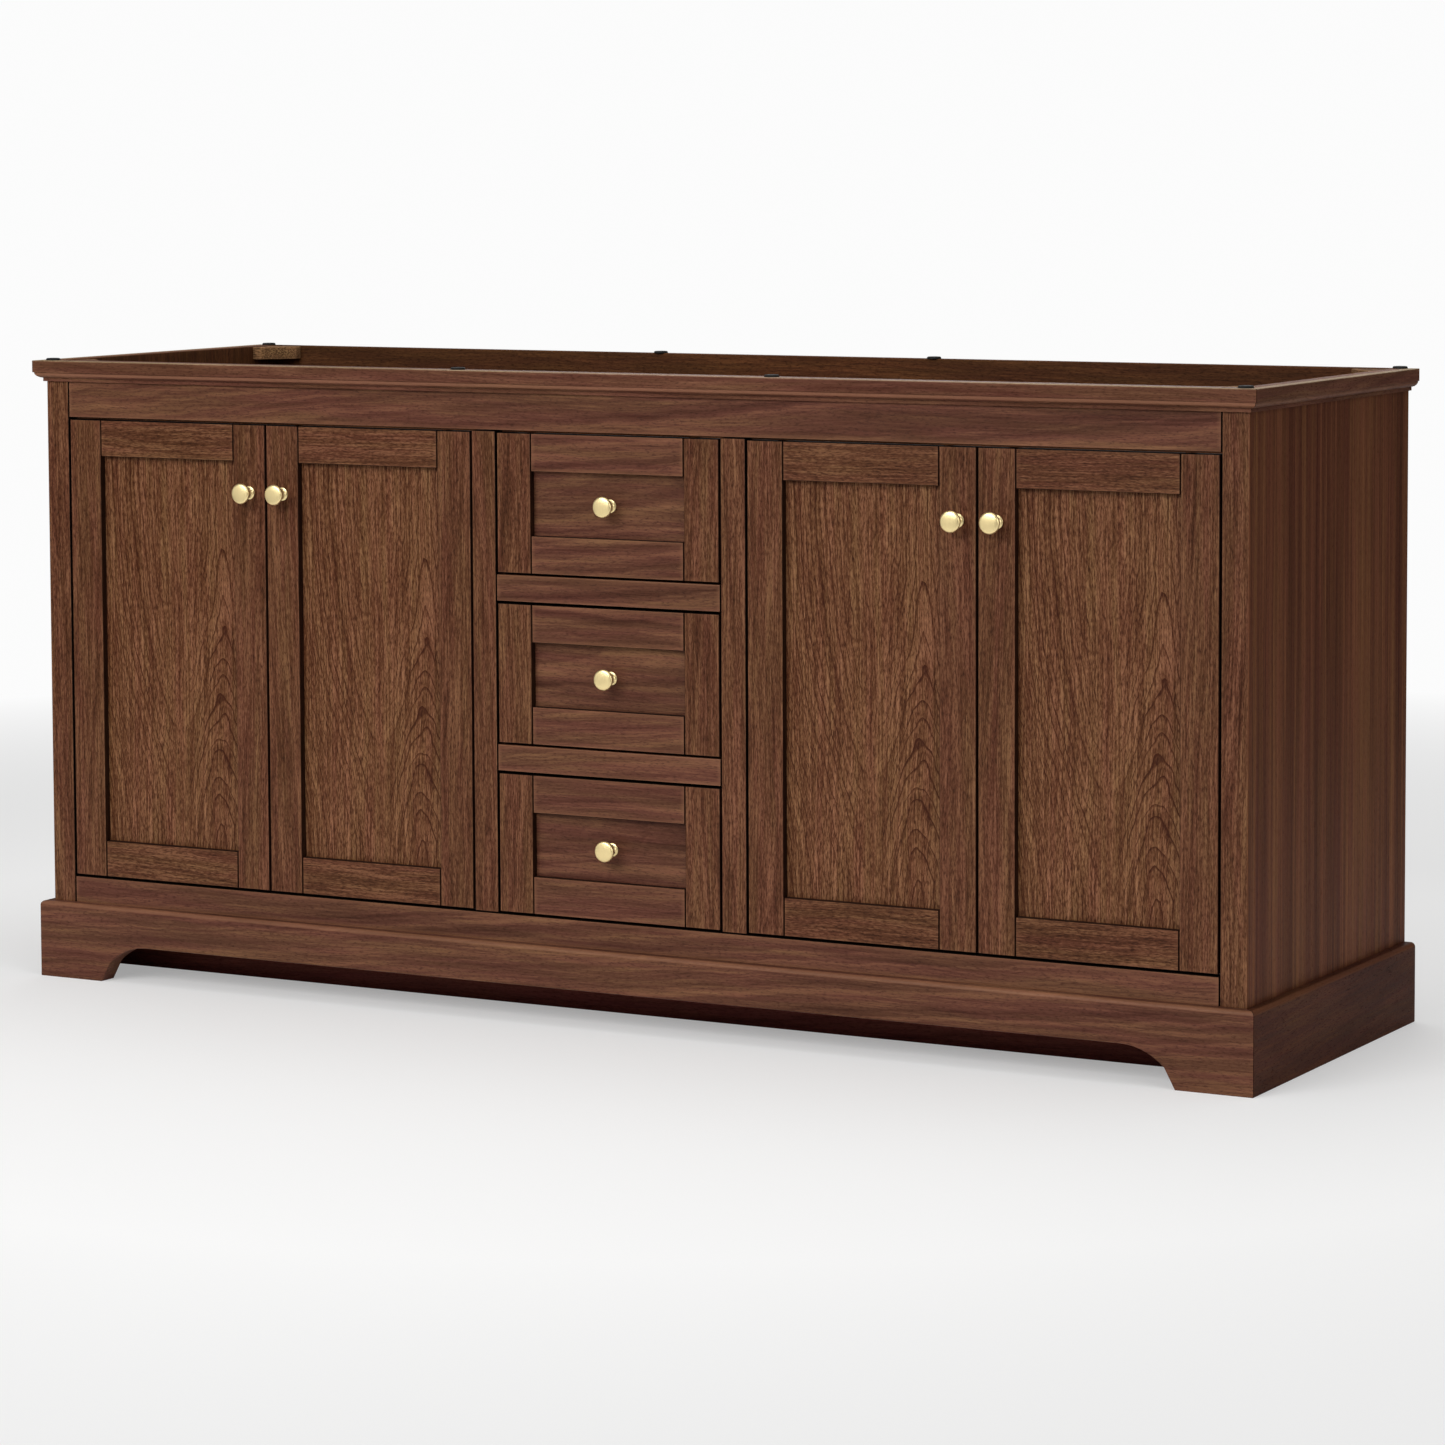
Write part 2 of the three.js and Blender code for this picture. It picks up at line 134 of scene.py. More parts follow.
HINGE_FROM_END = 0.095  # a hinge's height from the door's lower or upper edge
HINGE_AXIS_OUT = 0.0015  # door edge to the axis it turns about
HINGE_BLOCK_T = 0.062
HINGE_BLOCK_H = 0.072
HINGE_BOARDS = {  # the stile and the upright board that each door's hinges sit against
    "door_1": ("left_stile", "left_side_panel"),
    "door_2": ("left_mid_stile", "left_partition"),
    "door_3": ("right_mid_stile", "right_partition"),
    "door_4": ("right_stile", "right_side_panel"),
}
CUP_R = 0.0175
CUP_DEPTH = 0.0115
CUP_INSET = 0.0235  # door edge to the cup's middle
CUP_EAR = 0.0225  # cup's middle to the screws of its ears
CUP_STEPS = 40
LEAF_SPAN = (math.radians(33), math.radians(85))  # where the links curl to at rest
LEAF_T = 0.0012
LEAF_STEPS = 10
KNOB_SCREW_R = 0.0045

CAMERA_AT = (3.0487, -5.4981, 1.1642)
CAMERA_YAW = math.radians(-28.769)
CAMERA_PITCH = math.radians(-4.469)
CAMERA_ROLL = math.radians(-0.241)
LENS_MM = 116.28
SENSOR_MM = 36.0
SHIFT_Y = -0.15

BACKDROP = (0.97, 0.97, 0.97, 1.0)

BODY = "cabinet"
SIDES = (("left", -1), ("right", 1))

# ---- node helpers ----


def add(tree, kind, inputs=None, **settings):
    """A new node with its settings and inputs, each input a value or another node's socket."""
    node = tree.nodes.new(kind)
    for key, value in settings.items():
        setattr(node, key, value)
    for key, value in (inputs or {}).items():
        if isinstance(value, bpy.types.NodeSocket):
            tree.links.new(value, node.inputs[key])
        else:
            node.inputs[key].default_value = value
    return node


def maths(tree, operation, first, second=0.5, third=0.5):
    node = add(tree, "ShaderNodeMath", {0: first, 1: second, 2: third}, operation=operation)
    return node.outputs[0]


def vector_maths(tree, operation, first, second):
    node = add(tree, "ShaderNodeVectorMath", {0: first, 1: second}, operation=operation)
    return node.outputs["Value" if operation == "LENGTH" else "Vector"]


def noise(tree, vector, stretch, detail=2.0, roughness=0.5):
    """Fractal noise over a vector stretched by a factor for each of its axes."""
    scaled = vector_maths(tree, "MULTIPLY", vector, stretch)
    inputs = {"Vector": scaled, "Scale": 1.0, "Detail": detail, "Roughness": roughness}
    return add(tree, "ShaderNodeTexNoise", inputs)


def remap(tree, value, low, high, to_low=0.0, to_high=1.0):
    inputs = {"Value": value, 1: low, 2: high, 3: to_low, 4: to_high}
    return add(tree, "ShaderNodeMapRange", inputs).outputs[0]


def mix(tree, factor, first, second, blend="MIX"):
    node = add(tree, "ShaderNodeMix", {0: factor, 6: first, 7: second}, data_type="RGBA", blend_type=blend)
    return node.outputs[2]


def ramp(tree, factor, stops):
    """A colour ramp with (place, colour) stops."""
    node = add(tree, "ShaderNodeValToRGB", {0: factor})
    elements = node.color_ramp.elements
    while len(elements) < len(stops):
        elements.new(0.5)
    for element, (place, colour) in zip(elements, stops):
        element.position = place
        element.color = (*colour, 1.0)
    return node.outputs[0]


def new_material(name):
    """A material with an empty tree but for its shader, as (material, tree, shader)."""
    material = bpy.data.materials.new(name)
    material.use_nodes = True
    return material, material.node_tree, material.node_tree.nodes["Principled BSDF"]


def srgb(red, green, blue):
    """A colour given as it is seen, on a scale of 255, in linear light."""
    def linear(value):
        value /= 255
        return value / 12.92 if value <= 0.04045 else ((value + 0.055) / 1.055) ** 2.4
    return (linear(red), linear(green), linear(blue))


# ---- materials ----


def surface(made, colour, roughness, height, distance, strength, values):
    """Links a material's colour, roughness and bump, sets its other inputs, and returns it."""
    material, tree, shader = made
    bump = add(tree, "ShaderNodeBump", {"Height": height, "Distance": distance, "Strength": strength})
    for key, socket in (("Base Color", colour), ("Roughness", roughness), ("Normal", bump.outputs[0])):
        tree.links.new(socket, shader.inputs[key])
    for key, value in values.items():
        shader.inputs[key].default_value = value
    return material


def wood(
    name, dark, middle, light,
    fleck=0.9, fibre=1.1, run=9.0, bands=0.2, lines=0.12, cloud=0.35, hue=1.0, flame=0.0,
    sway=1.0, patches=(5.0, 26.0, 26.0),
    roughness=0.46, coat=0.03, specular=0.12, pores=0.4, edge_lift=0.5,
):
    """Wood read from the "grain" attribute: along the fibres, across them, and into the tree.

    Growth rings are cones round the tree's middle, so that a board cut near it shows pointed
    arches, and one cut far from it shows straight lines. Fibres and pores run along the board.
    run is how often a fibre changes along its length, and flame how far the arches climb.
    sway is how much the fibres wander, and patches how often the tone changes on each axis.
    """
    made = new_material(name)
    tree = made[1]
    grain = add(tree, "ShaderNodeAttribute", attribute_name="grain").outputs["Vector"]
    edge = add(tree, "ShaderNodeAttribute", attribute_name="edge").outputs["Fac"]

    drift = bent_by(tree, grain, (1.5, 8.0, 8.0), (0.0, 0.040 * sway, 0.026 * sway))
    ring, clear = rings(tree, bent_by(tree, drift, (20.0, 30.0, 30.0), (0.030, 0.010, 0.010)), flame)
    streak = noise(tree, drift, (run, 400.0, 400.0), detail=3.0, roughness=0.68).outputs["Fac"]
    growth = noise_1d(tree, maths(tree, "MULTIPLY", ring, 85.0), detail=3.0, roughness=0.6)
    band = maths(tree, "SUBTRACT", remap(tree, growth, 0.26, 0.74), 0.5)
    band = maths(tree, "MULTIPLY_ADD", band, clear, 0.5)
    year = maths(tree, "MULTIPLY_ADD", growth, 0.8, maths(tree, "MULTIPLY", ring, 130.0))
    late_wood = remap(tree, maths(tree, "FRACT", year), 0.80, 0.97)
    broken = maths(tree, "MULTIPLY", remap(tree, streak, 0.35, 0.6, 0.25, 1.0), clear)
    late_wood = maths(tree, "MULTIPLY", late_wood, broken)

    dash = noise(tree, drift, (135.0, 640.0, 640.0), detail=2.0, roughness=0.65).outputs["Fac"]
    patch = noise(tree, drift, patches, detail=4.0, roughness=0.55).outputs["Fac"]
    shift = noise(tree, drift, (4.0, 60.0, 60.0), detail=2.5, roughness=0.6).outputs["Fac"]

    shares = ((band, bands), (streak, fibre), (dash, fleck), (patch, cloud))
    tone = maths(tree, "MULTIPLY_ADD", late_wood, -lines, 0.5 - 0.5 * sum(share for _, share in shares))
    for part, share in shares:
        tone = maths(tree, "MULTIPLY_ADD", part, share, tone)
    colour = ramp(tree, tone, [(0.20, dark), (0.50, middle), (0.82, light)])
    tint = ramp(tree, shift, [
        (0.5 - 0.16 / hue, (1.04, 0.95, 1.00)),
        (0.5 + 0.16 / hue, (0.98, 1.03, 0.91)),
    ])
    tinted = mix(tree, 1.0, colour, tint, "MULTIPLY")
    pore = remap(tree, dash, 0.44, 0.34)
    pored = mix(tree, maths(tree, "MULTIPLY", pore, pores), tinted, (*[c * 0.5 for c in dark], 1.0))
    # Edges are painted lighter by the edge attribute: part wear, part a painted highlight on the arrises. On
    # the crown and plinth mouldings it is a painted highlight where light from above catches them.
    worn_and_highlit = mix(tree, maths(tree, "MULTIPLY", edge, edge_lift * 0.3), pored, (*[c * 1.4 for c in light], 1.0))
    dullness = maths(tree, "MULTIPLY_ADD", pore, 0.5, streak)
    gloss = remap(tree, dullness, 0.3, 1.0, roughness - 0.06, roughness + 0.14)
    relief = maths(tree, "MULTIPLY_ADD", pore, -1.0, maths(tree, "MULTIPLY", streak, 0.8))
    values = {"Coat Weight": coat, "Coat Roughness": 0.3, "Specular IOR Level": specular}
    return surface(made, worn_and_highlit, gloss, relief, 0.00014, 0.6, values)


def rings(tree, place, flame):
    """How far from the tree's middle a point's growth ring lies, and how clearly rings show.

    With a flame there are two sets of arches, and neither shows where they meet.
    """
    along, across, depth = add(tree, "ShaderNodeSeparateXYZ", {0: place}).outputs
    radius = distance(tree, across, depth)
    if not flame:
        return maths(tree, "MULTIPLY_ADD", along, TAPER, radius), 1.0
    beside = distance(tree, maths(tree, "ADD", across, TWIN_ACROSS), depth)
    beside = maths(tree, "SUBTRACT", beside, TWIN_NEARER)
    nearer = maths(tree, "SMOOTH_MIN", radius, beside, TWIN_BLEND)
    apart = maths(tree, "ABSOLUTE", maths(tree, "SUBTRACT", radius, beside))
    share = maths(tree, "DIVIDE", along, FLAME_REACH)
    climb = maths(tree, "EXPONENT", maths(tree, "MULTIPLY", maths(tree, "MULTIPLY", share, share), -1.0))
    return maths(tree, "MULTIPLY_ADD", climb, -flame, nearer), remap(tree, apart, *TWIN_FADE)


def distance(tree, first, second):
    flat = add(tree, "ShaderNodeCombineXYZ", {0: first, 1: second, 2: 0.0})
    return vector_maths(tree, "LENGTH", flat.outputs[0], (0.0, 0.0, 0.0))


def bent_by(tree, vector, stretch, reach):
    """A vector moved by noise, by up to half of reach each way along each axis."""
    drift = noise(tree, vector, stretch, detail=2.0).outputs["Color"]
    centred = vector_maths(tree, "SUBTRACT", drift, (0.5, 0.5, 0.5))
    return vector_maths(tree, "ADD", vector, vector_maths(tree, "MULTIPLY", centred, reach))


def noise_1d(tree, value, detail, roughness):
    inputs = {"W": value, "Scale": 1.0, "Detail": detail, "Roughness": roughness}
    return add(tree, "ShaderNodeTexNoise", inputs, noise_dimensions="1D").outputs["Fac"]


def metal(name, colour, roughness, brush, strength=0.25):
    """Metal brushed along one axis, which is the one that brush stretches least."""
    made = new_material(name)
    tree = made[1]
    place = add(tree, "ShaderNodeTexCoord").outputs["Object"]
    edge = add(tree, "ShaderNodeAttribute", attribute_name="edge").outputs["Fac"]
    lines = noise(tree, place, brush, detail=3.0, roughness=0.7).outputs["Fac"]
    smudge = noise(tree, place, (60.0, 60.0, 60.0), detail=3.0).outputs["Fac"]
    shade = remap(tree, maths(tree, "MULTIPLY_ADD", smudge, 0.5, lines), 0.4, 1.1, 0.94, 1.03)
    grey = add(tree, "ShaderNodeCombineColor", {0: shade, 1: shade, 2: shade}).outputs[0]
    toned = mix(tree, 1.0, (*colour, 1.0), grey, "MULTIPLY")
    bright = (*[min(1.0, c * 1.2) for c in colour], 1.0)
    edge_lift = mix(tree, maths(tree, "MULTIPLY", edge, 0.25), toned, bright)
    rubbing = maths(tree, "MULTIPLY_ADD", smudge, 0.6, lines)
    rough = remap(tree, rubbing, 0.4, 1.2, roughness - 0.03, roughness + 0.05)
    return surface(made, edge_lift, rough, lines, 0.00003, strength, {"Metallic": 1.0})


def rubber(name, colour, sheen):
    """Moulded rubber: a fine sparkle of grain, dust caught in it and a matt skin."""
    made = new_material(name)
    tree = made[1]
    place = add(tree, "ShaderNodeTexCoord").outputs["Object"]
    fine = noise(tree, place, (2600.0, 2600.0, 2600.0), detail=2.0).outputs["Fac"]
    dust = noise(tree, place, (180.0, 180.0, 180.0), detail=4.0, roughness=0.65).outputs["Fac"]
    dusty = (*[c * 2.2 + 0.006 for c in colour], 1.0)
    skin = mix(tree, remap(tree, dust, 0.5, 0.75), (*colour, 1.0), dusty)
    dull = remap(tree, dust, 0.3, 0.7, 0.55, 0.75)
    return surface(made, skin, dull, fine, 0.00008, 0.4, {"Sheen Weight": sheen, "Specular IOR Level": 0.2})


WALNUT = wood("walnut", srgb(59, 28, 11), srgb(94, 57, 37), srgb(134, 93, 66), hue=1.2)
CALM = wood(
    "calm_walnut", srgb(67, 35, 24), srgb(98, 61, 46), srgb(134, 93, 67),
    fleck=0.25, fibre=0.6, bands=0.3, lines=0.08, cloud=0.7, hue=1.5, patches=(3.0, 45.0, 45.0), edge_lift=1.5,
)
CROWN_WALNUT = wood(
    "crown_walnut", srgb(69, 37, 26), srgb(102, 65, 50), srgb(139, 97, 74),
    fleck=0.25, fibre=0.6, bands=0.15, lines=0.08, cloud=0.6, hue=1.3, patches=(3.0, 45.0, 45.0), edge_lift=1.7,
    coat=0.0, specular=0.06,
)
VENEER = wood(
    "walnut_veneer", srgb(62, 27, 10), srgb(102, 64, 40), srgb(148, 105, 75),
    fleck=1.1, fibre=1.1, bands=0.26, lines=0.5, flame=0.096,
)
SIDE_VENEER = wood(
    "side_veneer", srgb(62, 31, 21), srgb(100, 60, 42), srgb(140, 94, 62),
    fleck=0.25, fibre=0.9, run=1.2, bands=0.0, lines=0.0, cloud=0.85, patches=(0.6, 42.0, 42.0),
    sway=0.3, pores=0.15, coat=0.0, specular=0.03,
)
# Walnut for the side plinths: a darker copy of the front plinth's walnut, as painted shade on the less lit
# sides.
SIDE_WALNUT_SHADED = wood(
    "side_walnut_painted_shade", srgb(44, 22, 15), srgb(76, 43, 31), srgb(108, 68, 45),
    fleck=0.25, fibre=0.45, bands=0.1, lines=0.05, cloud=0.5, coat=0.0, specular=0.03, edge_lift=1.2,
)
# A pale, dull look for the crown's top face: a painted highlight of the light from above on it.
TOP_FACE_HIGHLIGHT = wood(
    "painted_top_highlight", srgb(116, 90, 68), srgb(150, 123, 98), srgb(180, 156, 128),
    fleck=0.6, fibre=0.5, coat=0.0, specular=0.2, roughness=0.6, edge_lift=0.0,
)
# Near-black painted shade for faces in the narrow gaps round doors and drawers, in the face frame's openings
# and joints, on the top edges of doors and drawer fronts, and in the mitres of the mouldings.
GAP_SHADE = wood(
    "painted_gap_shade", srgb(14, 7, 5), srgb(20, 11, 7), srgb(30, 18, 12),
    coat=0.0, specular=0.05, roughness=0.7, edge_lift=0.0,
)
# Walnut darkened as painted shade, for the edges of the doors' and drawer fronts' stiles and rails and the
# tenons in their joints, which lie in the gaps and beside the panels' recesses.
DOOR_EDGE_SHADED = wood(
    "door_edge", srgb(28, 13, 8), srgb(42, 23, 14), srgb(58, 34, 22),
    fleck=0.4, coat=0.0, specular=0.06, roughness=0.6, edge_lift=0.0,
)
INTERIOR = wood(
    "stained_plywood", srgb(49, 24, 10), srgb(78, 46, 25), srgb(110, 70, 41),
    fleck=0.4, fibre=0.7, run=6.0, roughness=0.65, coat=0.0, specular=0.1,
)
# The toe board's plywood, coloured far lighter than it is as painted light in the shade under the plinth.
TOE_WOOD_LIT = wood(
    "toe_plywood_painted_light", srgb(78, 34, 30), srgb(112, 56, 50), srgb(136, 76, 66),
    fleck=0.3, fibre=0.5, roughness=0.6, coat=0.0, specular=0.1, pores=0.3,
)
SAWN = wood(
    "sawn_wood", srgb(36, 20, 12), srgb(94, 64, 40), srgb(152, 114, 78),
    fleck=2.2, fibre=0.5, run=120.0, cloud=1.0, roughness=0.85, coat=0.0, specular=0.15, pores=0.9, edge_lift=1.0,
)
BIRCH = wood(
    "birch", srgb(184, 146, 100), srgb(212, 178, 130), srgb(230, 202, 158),
    fleck=0.4, fibre=0.5, bands=0.2, lines=0.06, roughness=0.5, pores=0.1, edge_lift=0.15,
)
GOLD = metal("satin_gold", srgb(252, 229, 170), 0.33, (700.0, 700.0, 50.0), strength=0.10)
ZINC = metal("zinc_plate", srgb(178, 182, 186), 0.36, (900.0, 20.0, 900.0))
NICKEL = metal("nickel_plate", srgb(196, 194, 188), 0.24, (500.0, 500.0, 90.0), strength=0.12)
RUBBER = rubber("black_rubber", (0.007, 0.007, 0.007), sheen=0.03)

# ---- mesh helpers ----

AXES = "XYZ"


def prism(outline, axis, low, high, bm=None):
    """A closed solid whose outline lies across an axis and runs from low to high along it.

    The outline's points are in the order of the other two axes: YZ, XZ or XY. The solid is
    added to a mesh if one is given, and is a new mesh otherwise.
    """
    def at(point, depth):
        return {"X": (depth, *point), "Y": (point[0], depth, point[1]), "Z": (*point, depth)}[axis]
    bm = bmesh.new() if bm is None else bm
    ends = [[bm.verts.new(at(p, depth)) for p in outline] for depth in (low, high)]
    bm.faces.new(ends[0])
    bm.faces.new(ends[1])
    for i in range(len(outline)):
        j = (i + 1) % len(outline)
        bm.faces.new((ends[0][i], ends[0][j], ends[1][j], ends[1][i]))
    bmesh.ops.recalc_face_normals(bm, faces=bm.faces[:])
    return bm


def cuboid(low, high):
    outline = [(low[0], low[2]), (high[0], low[2]), (high[0], high[2]), (low[0], high[2])]
    return prism(outline, "Y", low[1], high[1])


def outer_edges(bm):
    """The edges on the outside of the mesh's own box, where two of its faces meet."""
    points = [v.co for v in bm.verts]
    low = [min(p[i] for p in points) for i in range(3)]
    high = [max(p[i] for p in points) for i in range(3)]
    found = []
    for e in bm.edges:
        sides = 0
        for i in range(3):
            a, b = e.verts[0].co[i], e.verts[1].co[i]
            sides += any(abs(a - x) < 1e-6 and abs(b - x) < 1e-6 for x in (low[i], high[i]))
        if sides >= 2:
            found.append(e)
    return found


def sharp_edges(bm, angle=math.radians(40)):
    return [e for e in bm.edges if len(e.link_faces) == 2 and e.calc_face_angle(0.0) > angle]


def bevel(bm, edges, radius, segments, clamp=False):
    bmesh.ops.bevel(
        bm, geom=edges, offset=radius, segments=segments, profile=0.5, affect="EDGES", clamp_overlap=clamp
    )


def soften(bm, edges, radius=ARRIS, segments=2):
    """Rounds edges, and gives the faces beside them a narrow flat strip and a strip painted lighter, part
    wear and part a painted highlight on the arris.
    """
    wear_and_highlight = bm.verts.layers.float.get("edge") or bm.verts.layers.float.new("edge")
    bevel(bm, edges, radius, segments, clamp=True)
    for v in bm.verts:
        v[wear_and_highlight] = 1.0
    for width, value in ((SUPPORT, 0.45), (FADE, 0.0)):
        wide = [f for f in bm.faces if face_width(f) > 3 * width and all(v[wear_and_highlight] > value for v in f.verts)]
        if wide:
            bmesh.ops.inset_individual(bm, faces=wide, thickness=width, use_even_offset=True)
            for f in wide:
                for v in f.verts:
                    v[wear_and_highlight] = value


def face_width(face):
    longest = max(e.calc_length() for e in face.edges)
    return face.calc_area() / longest


def stamp(mesh, grain, pith, name):
    """Writes where each point is in its board's wood: along the fibres, across, and in depth.

    grain is two axes, such as ZX for fibres that run up and a face that lies across X. pith is
    the point of the board that is nearest the tree's middle, and how deep below it that lies.
    """
    along, across = (AXES.index(a) for a in grain)
    depth = 3 - along - across
    draw = random.Random(name)
    if pith is None:
        points = [v.co for v in mesh.vertices]
        middle = [sum(p[i] for p in points) / len(points) for i in range(3)]
        middle[across] += draw.choice((-1, 1)) * draw.uniform(0.07, 0.22)
        pith = (middle, draw.uniform(0.02, 0.08), draw.uniform(0.0, 30.0))
    centre, below, start = pith
    values = []
    for v in mesh.vertices:
        offset = [v.co[i] - centre[i] for i in range(3)]
        values += [start + offset[along], offset[across], below + offset[depth]]
    layer = mesh.attributes.new("grain", "FLOAT_VECTOR", "POINT")
    layer.data.foreach_set("vector", values)


def finish_piece(name, bm, body, looks, grain=None, pith=None, stands_for=(), seed=None):
    """Makes a piece from a mesh, with its wood grain, materials, body and CAD nodes."""
    mesh = bpy.data.meshes.new(name)
    bm.to_mesh(mesh)
    bm.free()
    for look in looks if isinstance(looks, (list, tuple)) else [looks]:
        mesh.materials.append(look)
    mesh.polygons.foreach_set("use_smooth", [True] * len(mesh.polygons))
    mesh.set_sharp_from_angle(angle=math.radians(38))
    if grain:
        stamp(mesh, grain, pith, seed or name)
    piece = bpy.data.objects.new(name, mesh)
    bpy.context.scene.collection.objects.link(piece)
    if body:
        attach(piece, body)
    if stands_for:
        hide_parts(*stands_for)
    return piece


def board(
    name, body, slot, look, low, high, grain, stands_for=(), radius=ARRIS, pith=None, seed=None,
    stained=(), second=GAP_SHADE, outer=(), third=GAP_SHADE,
):
    """A plain board with rounded edges. The sides named in stained, such as -X, get the second
    look, and those named in outer get the third. Both are the near-black painted gap shade unless others are
    given."""
    bm = cuboid(low, high)
    soften(bm, bm.edges[:], radius)
    stain(bm, stained)
    stain(bm, outer, 2)
    finish_piece(name, bm, body, [look, second, third], grain, pith, stands_for, seed)


def stain(bm, sides, index=1):
    """Gives one of the materials to the outermost faces on these sides, such as -X and +Z."""
    for side in sides:
        sign, axis = (-1 if side[0] == "-" else 1), AXES.index(side[1])
        limit = max(sign * v.co[axis] for v in bm.verts)
        for f in bm.faces:
            if all(abs(sign * v.co[axis] - limit) < ARRIS + 1e-6 for v in f.verts):
                f.material_index = index


def lathe(profile, turn, steps, bm=None):
    """A solid of revolution from (radius, place) points, capped at both ends.

    Its axis is a local Z that a matrix turns and places. It is added to a mesh if one is given.
    """
    bm = bmesh.new() if bm is None else bm
    angles = [2 * math.pi * i / steps for i in range(steps)]
    circles = [
        [bm.verts.new(turn @ Vector((r * math.cos(a), r * math.sin(a), place))) for a in angles]
        for r, place in profile
    ]
    made = [bm.faces.new(circles[0][::-1]), bm.faces.new(circles[-1])]
    for lower, upper in zip(circles, circles[1:]):
        for i in range(steps):
            j = (i + 1) % steps
            made.append(bm.faces.new((lower[i], lower[j], upper[j], upper[i])))
    bmesh.ops.recalc_face_normals(bm, faces=made)
    return bm


def facing(point, direction):
    """A matrix that takes local Z to a direction, at a point."""
    turn = Vector(direction).to_track_quat("Z", "Y").to_matrix().to_4x4()
    return Matrix.Translation(point) @ turn


def curve_points(points, steps=5):
    """A smooth line through (radius, place) points, as Catmull-Rom spans."""
    def between(p, q, r, s, t):
        bend, twist = 2 * p - 5 * q + 4 * r - s, 3 * q - p - 3 * r + s
        return 0.5 * (2 * q + (r - p) * t + bend * t * t + twist * t ** 3)

    line = []
    padded = [points[0], *points, points[-1]]
    for span in zip(padded, padded[1:], padded[2:], padded[3:]):
        line += [tuple(between(*values, i / steps) for values in zip(*span)) for i in range(steps)]
    return [*line, points[-1]]


def arc(centre, radius, start, end, steps):
    return [
        (centre[0] + radius * math.cos(a), centre[1] + radius * math.sin(a))
        for a in (start + (end - start) * i / steps for i in range(steps + 1))
    ]


# ---- places from the frame ----

stile_low, stile_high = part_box("left_stile")
FACE = stile_low.y  # front plane of the face frame
HALF = -stile_low.x  # side face of the cabinet
TOP = stile_high.z
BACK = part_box("back_panel")[1].y
PROUD = -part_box("front_plinth")[0].x - HALF
PLINTH_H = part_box("front_plinth")[1].z
CROWN_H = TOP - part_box("front_crown")[0].z
PLINTH_HIGHLIT = PLINTH_H - PLINTH_ROUND * 0.8  # the painted highlight on its rounding starts here
PLINTH_FADE = PLINTH_H - PLINTH_ROUND - 0.003  # and the painted highlight has faded out here

# ---- carcass ----


def same_board(node, slot, look, grain, shrink=(0.0, 0.0, 0.0), **finish):
    """A finished board in the place of a CAD node, shorter by shrink at each end of each axis."""
    low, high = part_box(node)
    gap = Vector(shrink)
    board(node + "_board", BODY, slot, look, low + gap, high - gap, grain, (node,), **finish)


def carcass():
    for side, sign in SIDES:
        inner_face = "-X" if sign > 0 else "+X"
        same_board(
            f"{side}_side_panel", "walnut_side", SIDE_VENEER, "ZY",
            stained=(inner_face,), second=INTERIOR,
        )
        same_board(f"{side}_partition", "interior", INTERIOR, "ZY")
    same_board("bottom_panel", "interior", INTERIOR, "XY")
    same_board("toe_board", "toe_board", TOE_WOOD_LIT, "XZ")
    same_board("rear_base_board", "interior", INTERIOR, "XZ")
    back_panel()


def back_panel():
    """One sheet with a square-cornered plumbing cut-out behind each sink bay."""
    low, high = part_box("back_panel")
    holes = [cutout_box(side) for side, _ in SIDES]
    xs = sorted({low.x, high.x, *(x for hole in holes for x in hole[0])})
    zs = sorted({low.z, high.z, *holes[0][1]})
    solid = {
        (i, k)
        for i in range(len(xs) - 1)
        for k in range(len(zs) - 1)
        if not any(h[0][0] <= xs[i] < h[0][1] and h[1][0] <= zs[k] < h[1][1] for h in holes)
    }
    bm = bmesh.new()
    verts = {}

    def face(corners):
        """A face between (column, layer, row) corners, which share vertices with other faces."""
        for i, layer, k in corners:
            if (i, layer, k) not in verts:
                verts[i, layer, k] = bm.verts.new((xs[i], (low.y, high.y)[layer], zs[k]))
        bm.faces.new([verts[corner] for corner in corners])

    for i, k in solid:
        for layer in (0, 1):
            face([(i + a, layer, k + b) for a, b in ((0, 0), (1, 0), (1, 1), (0, 1))])
        for step, (a, b), (c, d) in (
            ((-1, 0), (0, 0), (0, 1)),
            ((1, 0), (1, 0), (1, 1)),
            ((0, -1), (0, 0), (1, 0)),
            ((0, 1), (0, 1), (1, 1)),
        ):
            if (i + step[0], k + step[1]) not in solid:
                face([(i + a, 0, k + b), (i + c, 0, k + d), (i + c, 1, k + d), (i + a, 1, k + b)])
    bmesh.ops.recalc_face_normals(bm, faces=bm.faces[:])
    bmesh.ops.dissolve_limit(bm, angle_limit=0.01, verts=bm.verts[:], edges=bm.edges[:])
    soften(bm, sharp_edges(bm), 0.0005, 1)
    finish_piece("back_panel_sheet", bm, BODY, INTERIOR, "XZ", None, ("back_panel",))


def cutout_box(side):
    """The ((x, x), (z, z)) of a plumbing cut-out, from the opening that the record states for it."""
    openings = frame["record"]["physics"]["openings"]
    found = next(o for o in openings if o["name"] == f"{side}_plumbing_cutout")
    (x0, _, z0), (x1, _, z1) = found["box_m"]
    margin = 0.0025
    return (x0 - margin, x1 + margin), (z0 - margin, z1 + margin)


# ---- face frame ----


